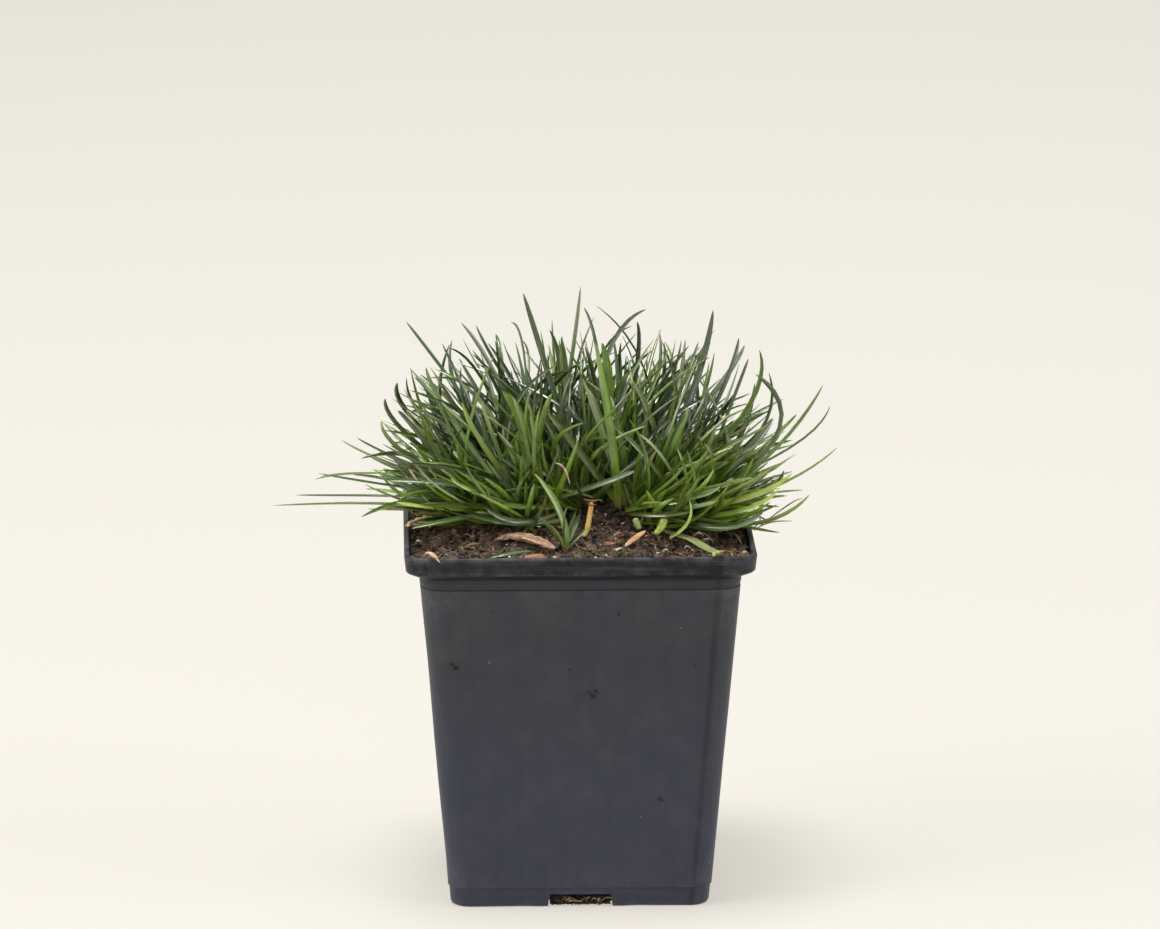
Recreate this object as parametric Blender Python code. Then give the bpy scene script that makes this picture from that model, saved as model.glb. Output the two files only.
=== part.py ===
"""Potted sea thrift in winter: a tuft of narrow leaves in a square nursery pot filled with dark soil.

The origin is the middle of the pot's underside. +Z is up and -Y is the front.
The pot is the common 9 cm square size, 95 mm high, and it sets the size of everything else.
"""

import math
import random
from dataclasses import dataclass

import bmesh
import bpy
import numpy as np
from mathutils import Matrix, Vector, noise
from mathutils.bvhtree import BVHTree

MM = 0.001
GAP = 0.3 * MM

# Pot
POT_HEIGHT = 95.0 * MM
POT_WALL = 0.9 * MM
POT_FLOOR = 1.0 * MM
RIM_HALF = 45.0 * MM
RIM_CORNER = 6.8 * MM
RIM_BAND = 4.9 * MM
RIM_WALL = 1.4 * MM
SHOULDER_HALF = 41.2 * MM
SHOULDER_CORNER = 6.4 * MM
SHOULDER_RISE = 1.7 * MM
FOOT_HALF = 33.3 * MM
FOOT_CORNER = 5.2 * MM
FOOT_EDGE = 0.9 * MM
STEP_Z = 5.0 * MM
STEP_OUT = 0.3 * MM
GROOVE_Z = 85.6 * MM
GROOVE_HEIGHT = 1.2 * MM
GROOVE_DEPTH = 0.45 * MM
CORNER_STEPS = 4

# Notch in the foot of each side, with a drain slot in its roof, and the holes in the floor
NOTCH_WIDTH = 17.0 * MM
NOTCH_TOP_WIDTH = 15.8 * MM
NOTCH_HEIGHT = 3.5 * MM
NOTCH_DEPTH = 9.0 * MM
SLOT_WIDTH = 11.0 * MM
SLOT_DEPTH = 4.0 * MM
HOLE_RADIUS = 3.5 * MM
HOLE_PLACE = 20.0 * MM

# Soil
SOIL_EDGE = 92.3 * MM
SOIL_HEAP = 5.0 * MM
SOIL_HEAP_REACH = 42.0 * MM
SOIL_LUMP = 1.1 * MM
SOIL_LUMP_SIZE = 7.0 * MM
BANK_PLACE = Vector((8.0, -17.0)) * MM
BANK_HEIGHT = 5.6 * MM
BANK_REACH = 5.5 * MM
SOIL_RINGS = 8
SOIL_CORNER_STEPS = 3
SOIL_SIDE_STEPS = 2

# Leaves
LEAF_STATIONS = 6
FUSED_STATIONS = 5
LEAF_THICKNESS = 0.45
LEAF_CHANNEL = 0.12
LEAF_SPACING = 0.4 * MM
LEAF_SAMPLES = 40
SOIL_MARGIN = 0.9 * MM
GOLDEN_ANGLE = math.radians(137.508)
UP = Vector((0.0, 0.0, 1.0))


def mm(x, y, z):
    """The point x, y, z given in millimetres."""
    return Vector((x, y, z)) * MM


# Dome that the tuft fills: its middle, its half sizes, its half depth in front, and how square its outline is
DOME_CENTRE = mm(2, 2, 97)
DOME_HALVES = mm(55, 48, 49)
DOME_FRONT = 36.0 * MM
DOME_SQUARENESS = 2.6
LEAN_REACH = 30.0 * MM

# How much a leaf leans away from the tuft's middle, how much one in its crown's middle and one outside
# leans away from the crown, and what is left of a lean to the front
OUTWARD_LEAN = 1.2
INNER_LEAN = 0.25
OUTER_LEAN = 2.7
FRONT_LEAN = 0.75


@dataclass
class Crown:
    """Where a rosette sits, its crown's radius, and how many leaves of one piece with it follow the rule."""

    name: str
    x: float
    y: float
    radius: float
    fused: int


@dataclass
class Leaf:
    """A leaf placed by hand: its crown, where its middle and its tip are, and its width in mm."""

    crown: str
    mid: Vector
    tip: Vector
    width: float
    own_piece: bool = True


CROWNS = (
    Crown("left_front", -26, -8, 4.5, 6),
    Crown("left", -20, 6, 4.5, 5),
    Crown("left_back", -12, 18, 4.5, 6),
    Crown("front_left", -14, -16, 4.5, 6),
    Crown("middle_left", -8, -3, 4.5, 6),
    Crown("middle_front", 3, -10, 4.5, 7),
    Crown("middle_right", 8, 5, 4.5, 6),
    Crown("front_right", 16, -15, 4.5, 7),
    Crown("right", 21, 3, 4.5, 6),
    Crown("right_front", 28, -9, 4.5, 6),
    Crown("back", 1, 20, 4.5, 5),
    Crown("right_back", 15, 18, 4.5, 6),
    Crown("sprig", -4, -35, 2.4, 0),
)

LEAVES = (
    Leaf("left_front", mm(-52, -6, 101), mm(-79, -4, 100), 1.5),
    Leaf("left", mm(-51, 3, 101), mm(-73, 8, 100), 1.4),
    Leaf("left_back", mm(-49, 12, 105), mm(-68, 13, 103), 1.4),
    Leaf("left", mm(-46, -4, 105), mm(-67, -2, 108), 1.5),
    Leaf("left_front", mm(-44, -6, 104), mm(-58, -8, 108), 1.3, own_piece=False),
    Leaf("left_front", mm(-43, -11, 102), mm(-56, -15, 99), 1.4),
    Leaf("left", mm(-48, 0, 110), mm(-61, 2, 116), 1.2),
    Leaf("left", mm(-45, 8, 109), mm(-57, 9, 115), 1.2, own_piece=False),
    Leaf("left_front", mm(-42, -1, 112), mm(-56, -3, 112), 2.4),
    Leaf("left", mm(-45, 1, 117), mm(-50, 0, 127), 1.7),
    Leaf("left_back", mm(-42, 9, 116), mm(-47, 6, 129), 2.0),
    Leaf("left_front", mm(-40, -5, 118), mm(-46, -6, 125), 1.6),
    Leaf("front_left", mm(-33, 0, 119), mm(-43, 3, 123), 1.9),
    Leaf("left", mm(-35, 7, 123), mm(-42, 9, 131), 1.4),
    Leaf("middle_left", mm(-33, 8, 131), mm(-44, 12, 145), 1.2),
    Leaf("front_left", mm(-31, -2, 124), mm(-38, 0, 136), 1.4, own_piece=False),
    Leaf("front_left", mm(-28, -7, 127), mm(-35, -8, 143), 1.6),
    Leaf("left_back", mm(-24, 14, 129), mm(-33, 12, 138), 1.5),
    Leaf("middle_left", mm(-20, -4, 132), mm(-30, -4, 148), 2.0),
    Leaf("back", mm(-18, 8, 130), mm(-26, 8, 145), 1.3, own_piece=False),
    Leaf("left_back", mm(-13, 19, 134), mm(-17, 20, 143), 1.4, own_piece=False),
    Leaf("middle_front", mm(-8, -5, 136), mm(-14, -6, 156), 2.0),
    Leaf("middle_left", mm(-4, 6, 128), mm(-7, 6, 144), 1.5, own_piece=False),
    Leaf("middle_left", mm(-2, 0, 134), mm(1, 3, 156), 2.1),
    Leaf("middle_right", mm(6, 6, 134), mm(2, 10, 149), 1.3, own_piece=False),
    Leaf("right", mm(18, 4, 133), mm(5, 8, 150), 1.2),
    Leaf("middle_front", mm(7, -3, 137), mm(18, 2, 150), 1.4),
    Leaf("back", mm(5, 17, 131), mm(15, 20, 142), 1.3, own_piece=False),
    Leaf("middle_right", mm(14, 3, 132), mm(15, 4, 146), 2.0),
    Leaf("middle_front", mm(8, -14, 128), mm(6, -16, 145), 2.2),
    Leaf("right_back", mm(22, 13, 124), mm(23, 14, 139), 1.6, own_piece=False),
    Leaf("middle_right", mm(22, 0, 126), mm(27, 2, 142), 1.6),
    Leaf("front_right", mm(30, -4, 130), mm(35, -4, 151), 2.0),
    Leaf("right", mm(37, 2, 127), mm(42, 4, 142), 1.6),
    Leaf("right_back", mm(36, 11, 126), mm(44, 14, 138), 2.3),
    Leaf("right_front", mm(39, -6, 125), mm(44, -8, 139), 1.6),
    Leaf("right", mm(44, -1, 124), mm(47, -2, 140), 1.8),
    Leaf("right_front", mm(52, 0, 118), mm(46, -4, 134), 2.1),
    Leaf("right_front", mm(52, -5, 115), mm(64, -6, 132), 1.9),
    Leaf("right", mm(54, 4, 112), mm(66, 8, 123), 1.3),
    Leaf("right_front", mm(53, -11, 107), mm(67, -14, 117), 1.4),
    Leaf("front_right", mm(40, -25, 99), mm(51, -34, 99), 1.6),
    Leaf("front_left", mm(-17, -26, 103), mm(-26, -31, 109), 1.6),
    Leaf("front_left", mm(-24, -27, 101), mm(-36, -34, 106), 1.4, own_piece=False),
    Leaf("front_right", mm(34, -21, 102), mm(44, -26, 103), 1.5),
    Leaf("front_right", mm(32, -17, 105), mm(37, -23, 109), 1.6, own_piece=False),
    Leaf("back", mm(-3, 41, 112), mm(-6, 57, 119), 1.5, own_piece=False),
    Leaf("right_back", mm(24, 38, 108), mm(31, 54, 107), 1.4, own_piece=False),
    Leaf("left_back", mm(-22, 39, 105), mm(-30, 55, 101), 1.5, own_piece=False),
    Leaf("sprig", mm(-5.2, -34.5, 104.5), mm(-11, -33, 115), 1.9),
    Leaf("sprig", mm(-2.2, -35, 100.5), mm(-0.6, -34.5, 104), 1.3, own_piece=False),
    Leaf("sprig", mm(-3.8, -35.5, 101.5), mm(-3, -34.5, 106), 1.2, own_piece=False),
    Leaf("sprig", mm(-5.8, -35.5, 98.6), mm(-7.8, -35.5, 101.5), 1.4, own_piece=False),
)


def rounded_square(half, radius, z, corner_steps=CORNER_STEPS, side_steps=0):
    """Points round a square with round corners at height z, anticlockwise seen from above."""
    points = []
    inner = half - radius
    for quarter in range(4):
        turn = Matrix.Rotation(quarter * math.pi / 2, 3, "Z")
        for step in range(corner_steps + 1):
            angle = math.pi / 2 * step / corner_steps
            corner = Vector((inner + radius * math.cos(angle), inner + radius * math.sin(angle), z))
            points.append(turn @ corner)
        for step in range(side_steps):
            across = inner * (1 - 2 * (step + 1) / (side_steps + 1))
            points.append(turn @ Vector((across, half, z)))
    return points


def bridge(bm, lower, upper):
    """Joins two rings of the same number of vertices with a band of faces."""
    count = len(lower)
    for index in range(count):
        following = (index + 1) % count
        bm.faces.new((lower[index], lower[following], upper[following], upper[index]))


def loft(bm, rings):
    """Adds the skin over a list of rings of points and gives its rings of vertices."""
    skins = [[bm.verts.new(point) for point in ring] for ring in rings]
    for lower, upper in zip(skins, skins[1:]):
        bridge(bm, lower, upper)
    return skins


def srgb(red, green, blue):
    """Linear colour of a screen colour given from 0 to 255."""
    values = (red / 255, green / 255, blue / 255)
    return tuple(v / 12.92 if v <= 0.04045 else ((v + 0.055) / 1.055) ** 2.4 for v in values)


def finish(name, colour, roughness):
    """A Principled material with one colour and roughness."""
    material = bpy.data.materials.new(name)
    material.use_nodes = True
    shader = material.node_tree.nodes["Principled BSDF"]
    shader.inputs["Base Color"].default_value = (*colour, 1.0)
    shader.inputs["Roughness"].default_value = roughness
    shader.inputs["Metallic"].default_value = 0.0
    return material


def add_object(name, bm, material=None, smooth_angle=None):
    """Turns a bmesh into an object with its faces pointing out."""
    bmesh.ops.recalc_face_normals(bm, faces=bm.faces)
    mesh = bpy.data.meshes.new(name)
    bm.to_mesh(mesh)
    bm.free()
    if material:
        mesh.materials.append(material)
    if smooth_angle:
        mesh.shade_smooth()
        mesh.set_sharp_from_angle(angle=math.radians(smooth_angle))
    thing = bpy.data.objects.new(name, mesh)
    bpy.context.scene.collection.objects.link(thing)
    return thing


def add_guide(name, bm):
    """A hidden object that only shapes another one."""
    guide = add_object(name, bm)
    guide.hide_render = True
    guide.display_type = "WIRE"
    return guide


def shape_with(target, guide, operation, crossing=False):
    """Joins a guide to an object, or cuts it away."""
    modifier = target.modifiers.new(guide.name, "BOOLEAN")
    modifier.operation = operation
    modifier.solver = "EXACT"
    modifier.use_self = crossing
    modifier.object = guide


def add_box(bm, low, high):
    """Adds a box between two corners."""
    centre = (low + high) / 2
    matrix = Matrix.Translation(centre) @ Matrix.Diagonal((*(high - low), 1.0))
    bmesh.ops.create_cube(bm, size=1.0, matrix=matrix)


# Pot

def pot_half(z):
    """Half width of the pot's body outside at height z."""
    shoulder_z = POT_HEIGHT - RIM_BAND - SHOULDER_RISE
    return FOOT_HALF + (SHOULDER_HALF - FOOT_HALF) * z / shoulder_z


def pot_corner(z):
    """Radius of the pot's corners outside at height z."""
    return FOOT_CORNER + (SHOULDER_CORNER - FOOT_CORNER) * z / POT_HEIGHT


def outer_profile():
    """Half width, corner radius and height of the pot's outside, from the foot to the rim's top."""
    band_z = POT_HEIGHT - RIM_BAND
    shoulder_z = band_z - SHOULDER_RISE
    groove_top = GROOVE_Z + GROOVE_HEIGHT
    body = [
        (FOOT_HALF - FOOT_EDGE, FOOT_CORNER - FOOT_EDGE, 0.0),
        (FOOT_HALF - 0.3 * FOOT_EDGE, FOOT_CORNER - 0.3 * FOOT_EDGE, 0.3 * FOOT_EDGE),
        (pot_half(FOOT_EDGE), FOOT_CORNER, FOOT_EDGE),
        (pot_half(STEP_Z), pot_corner(STEP_Z), STEP_Z),
        (pot_half(STEP_Z) + STEP_OUT, pot_corner(STEP_Z) + STEP_OUT, STEP_Z + STEP_OUT),
        (pot_half(GROOVE_Z), pot_corner(GROOVE_Z), GROOVE_Z),
        (pot_half(GROOVE_Z) - GROOVE_DEPTH, pot_corner(GROOVE_Z), GROOVE_Z + GROOVE_DEPTH),
        (pot_half(groove_top) - GROOVE_DEPTH, pot_corner(groove_top), groove_top - GROOVE_DEPTH),
        (pot_half(groove_top), pot_corner(groove_top), groove_top),
        (SHOULDER_HALF, SHOULDER_CORNER, shoulder_z),
    ]
    edge = 0.4 * MM
    rim = [
        (RIM_HALF - 2 * edge, RIM_CORNER - edge, band_z),
        (RIM_HALF - edge, RIM_CORNER, band_z + edge),
        (RIM_HALF, RIM_CORNER, POT_HEIGHT - 2 * edge),
        (RIM_HALF - edge / 2, RIM_CORNER, POT_HEIGHT - edge / 2),
        (RIM_HALF - edge, RIM_CORNER - edge, POT_HEIGHT),
    ]
    return body + rim


def inner_profile():
    """Half width, corner radius and height of the pot's inside, from the rim's top to the floor."""
    band_z = POT_HEIGHT - RIM_BAND
    rim_inner = RIM_HALF - RIM_WALL
    corner = RIM_CORNER - RIM_WALL
    edge = 0.3 * MM
    ledge_z = band_z + POT_WALL
    return [
        (rim_inner + edge, corner + edge, POT_HEIGHT),
        (rim_inner, corner, POT_HEIGHT - edge),
        (rim_inner, corner, ledge_z),
        (SHOULDER_HALF - POT_WALL, SHOULDER_CORNER - POT_WALL, ledge_z - SHOULDER_RISE),
        (FOOT_HALF - POT_WALL, FOOT_CORNER - POT_WALL, POT_FLOOR),
    ]


def side_turns():
    """A turn about Z for each of the four sides, the front first."""
    return [Matrix.Rotation(quarter * math.pi / 2, 4, "Z") for quarter in range(4)]


def notch_housings(allowance):
    """The boxes over the four notches, made larger all round by an allowance."""
    bm = bmesh.new()
    for turn in side_turns():
        box = bmesh.new()
        half = NOTCH_WIDTH / 2 + POT_WALL + allowance
        depth = NOTCH_DEPTH + POT_WALL + allowance
        low = Vector((-half, -FOOT_HALF + POT_WALL / 2, POT_FLOOR / 2 - allowance))
        high = Vector((half, -FOOT_HALF + depth, NOTCH_HEIGHT + POT_WALL + allowance))
        add_box(box, low, high)
        box.transform(turn)
        merge_into(bm, box)
    return bm


def merge_into(bm, other):
    """Adds another bmesh to this one."""
    spare = bpy.data.meshes.new("spare")
    other.to_mesh(spare)
    other.free()
    bm.from_mesh(spare)
    bpy.data.meshes.remove(spare)


def notch_cutters():
    """The four notches under the sides, a little narrower at the top."""
    bm = bmesh.new()
    outside = -FOOT_HALF - 2 * MM
    inside = -FOOT_HALF + NOTCH_DEPTH
    below = -1 * MM
    for turn in side_turns():
        side = bmesh.new()
        rings = []
        for y in (outside, inside):
            rings.append([
                Vector((-NOTCH_WIDTH / 2, y, below)),
                Vector((NOTCH_WIDTH / 2, y, below)),
                Vector((NOTCH_TOP_WIDTH / 2, y, NOTCH_HEIGHT)),
                Vector((-NOTCH_TOP_WIDTH / 2, y, NOTCH_HEIGHT)),
            ])
        near, far = loft(side, rings)
        side.faces.new(near)
        side.faces.new(reversed(far))
        side.transform(turn)
        merge_into(bm, side)
    return bm


def drain_cutters():
    """The slots in the notches' roofs and the round holes in the floor."""
    bm = bmesh.new()
    slot_y = -FOOT_HALF + NOTCH_DEPTH / 2
    for turn in side_turns():
        slot = bmesh.new()
        low = Vector((-SLOT_WIDTH / 2, slot_y - SLOT_DEPTH / 2, NOTCH_HEIGHT - MM))
        high = Vector((SLOT_WIDTH / 2, slot_y + SLOT_DEPTH / 2, NOTCH_HEIGHT + 2 * MM))
        add_box(slot, low, high)
        place = Matrix.Translation((HOLE_PLACE, HOLE_PLACE, POT_FLOOR / 2))
        bmesh.ops.create_cone(
            slot, cap_ends=True, segments=16, radius1=HOLE_RADIUS, radius2=HOLE_RADIUS,
            depth=4 * POT_FLOOR, matrix=place,
        )
        slot.transform(turn)
        merge_into(bm, slot)
    return bm


def build_pot():
    """The moulded pot: a thin tapering wall, a rim, a floor, notches and drain holes."""
    bm = bmesh.new()
    rings = [rounded_square(*station) for station in outer_profile() + inner_profile()]
    skins = loft(bm, rings)
    bm.faces.new(reversed(skins[0]))
    bm.faces.new(skins[-1])
    plastic = finish("pot_plastic", srgb(58, 59, 66), 0.42)
    pot = add_object("pot", bm, plastic, smooth_angle=35)
    shape_with(pot, add_guide("housings", notch_housings(0.0)), "UNION")
    shape_with(pot, add_guide("notches", notch_cutters()), "DIFFERENCE")
    shape_with(pot, add_guide("drains", drain_cutters()), "DIFFERENCE")
    return pot


# Soil

def soil_level(x, y):
    """Height of the soil: low along the wall, heaped under the plant, a bank in front, lumpy all over."""
    reach = math.hypot(x, y) / SOIL_HEAP_REACH
    heap = SOIL_HEAP * max(0.0, 1.0 - reach ** 4)
    away = (Vector((x, y)) - BANK_PLACE).length / BANK_REACH
    bank = BANK_HEIGHT * math.exp(-away * away / 2)
    lumps = SOIL_LUMP * noise.noise(Vector((x, y, 0.0)) / SOIL_LUMP_SIZE)
    return SOIL_EDGE + heap + bank + lumps


def soil_mesh():
    """The block of soil before the crowns' hollows are cut: walls a gap inside the pot, and a lumpy top."""
    gap = GAP + 0.1 * MM
    ledge_z = POT_HEIGHT - RIM_BAND + POT_WALL
    floor_half = FOOT_HALF - POT_WALL - gap
    shoulder_half = SHOULDER_HALF - POT_WALL - gap
    top_half = RIM_HALF - RIM_WALL - gap
    walls = (
        (floor_half, FOOT_CORNER - POT_WALL, POT_FLOOR + gap),
        (shoulder_half, SHOULDER_CORNER - POT_WALL, ledge_z - SHOULDER_RISE + gap),
        (top_half, RIM_CORNER - RIM_WALL, ledge_z + gap),
    )
    rings = [rounded_square(*station, SOIL_CORNER_STEPS, SOIL_SIDE_STEPS) for station in walls]
    edge = rings[-1]
    for ring in range(SOIL_RINGS):
        share = 1.0 - ring / SOIL_RINGS
        level = [Vector((point.x * share, point.y * share)) for point in edge]
        rings.append([Vector((p.x, p.y, soil_level(p.x, p.y))) for p in level])
    bm = bmesh.new()
    skins = loft(bm, rings)
    bm.faces.new(reversed(skins[0]))
    middle = bm.verts.new((0.0, 0.0, soil_level(0.0, 0.0)))
    last = skins[-1]
    for index, corner in enumerate(last):
        bm.faces.new((corner, last[(index + 1) % len(last)], middle))
    bmesh.ops.recalc_face_normals(bm, faces=bm.faces)
    bmesh.ops.triangulate(bm, faces=bm.faces)
    return bm


def ground_under(tree, x, y):
    """Height of the soil's faceted surface at x, y, or None beyond the pot."""
    hit = tree.ray_cast(Vector((x, y, 2 * POT_HEIGHT)), Vector((0.0, 0.0, -1.0)))[0]
    return hit.z if hit else None


# Crowns and leaves

CROWN_RISE = 1.6 * MM
CROWN_HEIGHT = 1.25


class Rosette:
    """A crown placed in the soil, with its centre and its three radii."""

    def __init__(self, crown):
        x, y = crown.x * MM, crown.y * MM
        self.name = crown.name
        self.fused = crown.fused
        self.radius = crown.radius * MM
        self.centre = Vector((x, y, soil_level(x, y) + CROWN_RISE))
        self.radii = Vector((self.radius, self.radius, self.radius * CROWN_HEIGHT))

    def surface(self, direction, gap):
        """The point a gap outside the crown, seen from its centre along a direction."""
        unit = direction.normalized()
        scaled = Vector((unit.x / self.radii.x, unit.y / self.radii.y, unit.z / self.radii.z))
        return self.centre + unit * (1.0 / scaled.length + gap)

    def depth(self, points, margins):
        """Distance of points from the centre, as a share of the crown's size with margins round it."""
        room = np.array(self.radii) + np.reshape(margins, (-1, 1))
        return np.linalg.norm((points - np.array(self.centre)) / room, axis=1)

    def add_egg(self, bm, gap=0.0):
        """Adds the crown's egg shape, made larger all round by a gap."""
        size = self.radii + Vector((gap, gap, gap))
        matrix = Matrix.Translation(self.centre) @ Matrix.Diagonal((*size, 1.0))
        bmesh.ops.create_uvsphere(bm, u_segments=8, v_segments=5, radius=1.0, matrix=matrix)


def taper(t):
    """Width of a leaf along its length: a little narrow at the base, then narrowing to the point."""
    return min(1.0, 0.75 + t) * (1.0 - t ** 3)


class Blade:
    """The shape of one leaf: a smooth curve through base, middle and tip, and a channelled section."""

    def __init__(self, base, mid, tip, width, rosette):
        self.base = base
        self.bend = mid * 2 - (base + tip) / 2
        self.tip = tip
        self.width = width
        self.rosette = rosette

    def point(self, t):
        """The point at the share t of the curve."""
        return self.base * (1 - t) ** 2 + self.bend * (2 * t * (1 - t)) + self.tip * t ** 2

    def along(self, t):
        """The direction of the curve at the share t."""
        return ((self.bend - self.base) * (1 - t) + (self.tip - self.bend) * t).normalized()

    def samples(self):
        """Points along the curve outside the leaf's own crown, and the leaf's half width at each."""
        shares = [(index + 0.5) / LEAF_SAMPLES for index in range(LEAF_SAMPLES)]
        points = np.array([self.point(t) for t in shares])
        radii = np.array([self.width / 2 * taper(t) for t in shares])
        outside = self.rosette.depth(points, 0.0) > 1.0
        return points[outside], radii[outside]

    def section(self, t):
        """Four points round the leaf: two edges, the keel below and the channel above."""
        place = self.point(t)
        along = self.along(t)
        lean = self.tip - self.base
        lean.z = 0.0
        facing = Vector((0.0, 0.0, 0.6)) - lean.normalized()
        facing = (facing - along * facing.dot(along)).normalized()
        side = along.cross(facing)
        half = self.width / 2 * taper(t)
        depth = 2 * half * LEAF_THICKNESS
        return (
            place + side * half,
            place - facing * depth * LEAF_CHANNEL,
            place - side * half,
            place - facing * depth,
        )

    def add_to(self, bm, stations):
        """Adds the leaf as a closed skin that ends in a point."""
        skins = loft(bm, [self.section(index / stations) for index in range(stations)])
        right, channel, left, keel = skins[0]
        bm.faces.new((right, channel, keel))
        bm.faces.new((channel, left, keel))
        point = bm.verts.new(self.tip)
        last = skins[-1]
        for index, corner in enumerate(last):
            bm.faces.new((corner, last[(index + 1) % 4], point))


class Thicket:
    """Everything that a new leaf has to keep clear of: leaves, crowns, the soil and the pot's rim."""

    def __init__(self, rosettes):
        self.rosettes = rosettes
        self.points = np.empty((0, 3))
        self.radii = np.empty(0)

    def misses_leaves(self, points, radii):
        """Whether a leaf is clear of the leaves placed so far."""
        room = 4 * MM
        low = points.min(axis=0) - room
        high = points.max(axis=0) + room
        near = ((self.points > low) & (self.points < high)).all(axis=1)
        away = np.linalg.norm(points[:, None, :] - self.points[None, near, :], axis=2)
        return bool((away > radii[:, None] + self.radii[None, near] + LEAF_SPACING).all())

    def misses_crowns(self, points, radii, home):
        """Whether a leaf is clear of every crown but its own."""
        others = [rosette for rosette in self.rosettes if rosette is not home]
        return all((rosette.depth(points, radii + LEAF_SPACING) > 1.0).all() for rosette in others)

    def misses_ground(self, points, radii):
        """Whether a leaf stays above the soil and the rim."""
        rim_inner = RIM_HALF - RIM_WALL - LEAF_SPACING
        rim_outer = RIM_HALF + LEAF_SPACING
        for point, radius in zip(points, radii):
            reach = max(abs(point[0]), abs(point[1]))
            lowest = point[2] - radius - LEAF_SPACING
            if reach - radius < rim_outer and reach + radius > rim_inner and lowest < POT_HEIGHT:
                return False
            if reach < rim_inner and lowest < soil_level(point[0], point[1]) + SOIL_MARGIN:
                return False
            if reach > rim_outer and lowest < POT_HEIGHT:
                return False
        return True

    def takes(self, blade):
        """Keeps a leaf and says so, if it is clear of everything."""
        points, radii = blade.samples()
        clear = self.misses_leaves(points, radii) and self.misses_crowns(points, radii, blade.rosette)
        if not clear or not self.misses_ground(points, radii):
            return False
        self.points = np.vstack([self.points, points])
        self.radii = np.concatenate([self.radii, radii])
        return True


def grown_blade(rosette, mid, tip, width, gap):
    """The leaf that leaves its crown straight out and passes through a middle point to its tip."""
    base = rosette.surface(mid - rosette.centre, gap)
    for _ in range(4):
        bend = mid * 2 - (base + tip) / 2
        base = rosette.surface(bend - rosette.centre, gap)
    return Blade(base, mid, tip, width, rosette)


def sidesteps():
    """Small shifts of a leaf's middle, the least first, tried until the leaf is clear of the others."""
    shifts = [Vector((0.0, 0.0, 0.0))]
    for size in (1.2, 2.4, 3.6, 4.8):
        for turn in range(8):
            angle = turn * math.pi / 4
            across, up = size * math.cos(angle), size * math.sin(angle)
            shifts.append(mm(0.4 * across, across, 0.5 * up))
    return shifts


def place_leaf(leaf, rosette, thicket):
    """Finds room for a leaf placed by hand: its middle, and half as much its tip, moves aside if need be."""
    gap = GAP + 0.05 * MM if leaf.own_piece else -rosette.radius * 0.5
    for shift in sidesteps():
        blade = grown_blade(rosette, leaf.mid + shift, leaf.tip + shift / 2, leaf.width * MM, gap)
        if thicket.takes(blade):
            return blade
    raise ValueError(f"no room for the leaf at {leaf.tip} of {leaf.crown}")


def dome_share(point):
    """How far out a point lies in the dome: 0 in its middle and 1 on its skin."""
    away = point - DOME_CENTRE
    halves = DOME_HALVES.copy()
    if away.y < 0:
        halves.y = DOME_FRONT
    total = sum(abs(part / half) ** DOME_SQUARENESS for part, half in zip(away, halves))
    return total ** (1 / DOME_SQUARENESS)


def dome_distance(start, direction):
    """How far it is from a point inside the dome to its skin."""
    near = 0.0
    far = 4 * DOME_HALVES.x
    for _ in range(20):
        middle = (near + far) / 2
        if dome_share(start + direction * middle) < 1.0:
            near = middle
        else:
            far = middle
    return near


def rule_leaf(rosette, order, count, turn):
    """One of a crown's own leaves: they go round by the golden angle, low outside and steep in the middle."""
    dice = random.Random(1000 * turn + order)
    share = (order + 0.5) / count
    angle = order * GOLDEN_ANGLE + turn
    heading = Vector((math.cos(angle), math.sin(angle), 0.0))
    outward = Vector((rosette.centre.x, rosette.centre.y, 0.0)) / LEAN_REACH
    freedom = max(0.0, heading.dot(outward)) * (1.0 - share)
    lean = outward * OUTWARD_LEAN + heading * (INNER_LEAN + OUTER_LEAN * (1.0 - share) ** 1.4)
    if lean.y < 0:
        lean.y *= FRONT_LEAN
    direction = (lean + UP).normalized()
    length = dome_distance(rosette.centre, direction) * dice.uniform(0.66, 1.0)
    length *= 1.0 + 0.2 * freedom
    aside = lean.normalized()
    over = UP * lean.length - aside
    over.normalize()
    sag = 0.05 * direction.xy.length + dice.uniform(-0.05, 0.06)
    swerve = dice.uniform(-0.07, 0.07)
    mid = rosette.centre + (direction * 0.5 - over * sag + aside.cross(UP) * swerve) * length
    tip = rosette.centre + direction * length
    width = dice.uniform(1.3, 1.9) * MM
    return grown_blade(rosette, mid, tip, width, -rosette.radius * 0.5)


def fill_rosette(rosette, thicket, turn):
    """The leaves that follow the rule and have room, up to the crown's number."""
    tries = 60
    blades = []
    for step in range(tries):
        if len(blades) == rosette.fused:
            break
        blade = rule_leaf(rosette, step * 7 % tries, tries, turn)
        if thicket.takes(blade):
            blades.append(blade)
    return blades


def build_rosette(rosette, blades, material):
    """A crown and the leaves that are one piece with it."""
    bm = bmesh.new()
    rosette.add_egg(bm)
    name = f"rosette_{rosette.name}"
    crown = add_object(name, bm, material, smooth_angle=50)
    bm = bmesh.new()
    for blade in blades:
        blade.add_to(bm, FUSED_STATIONS)
    shape_with(crown, add_guide(f"leaves_{rosette.name}", bm), "UNION", crossing=True)


# Loose things on the soil

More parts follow.
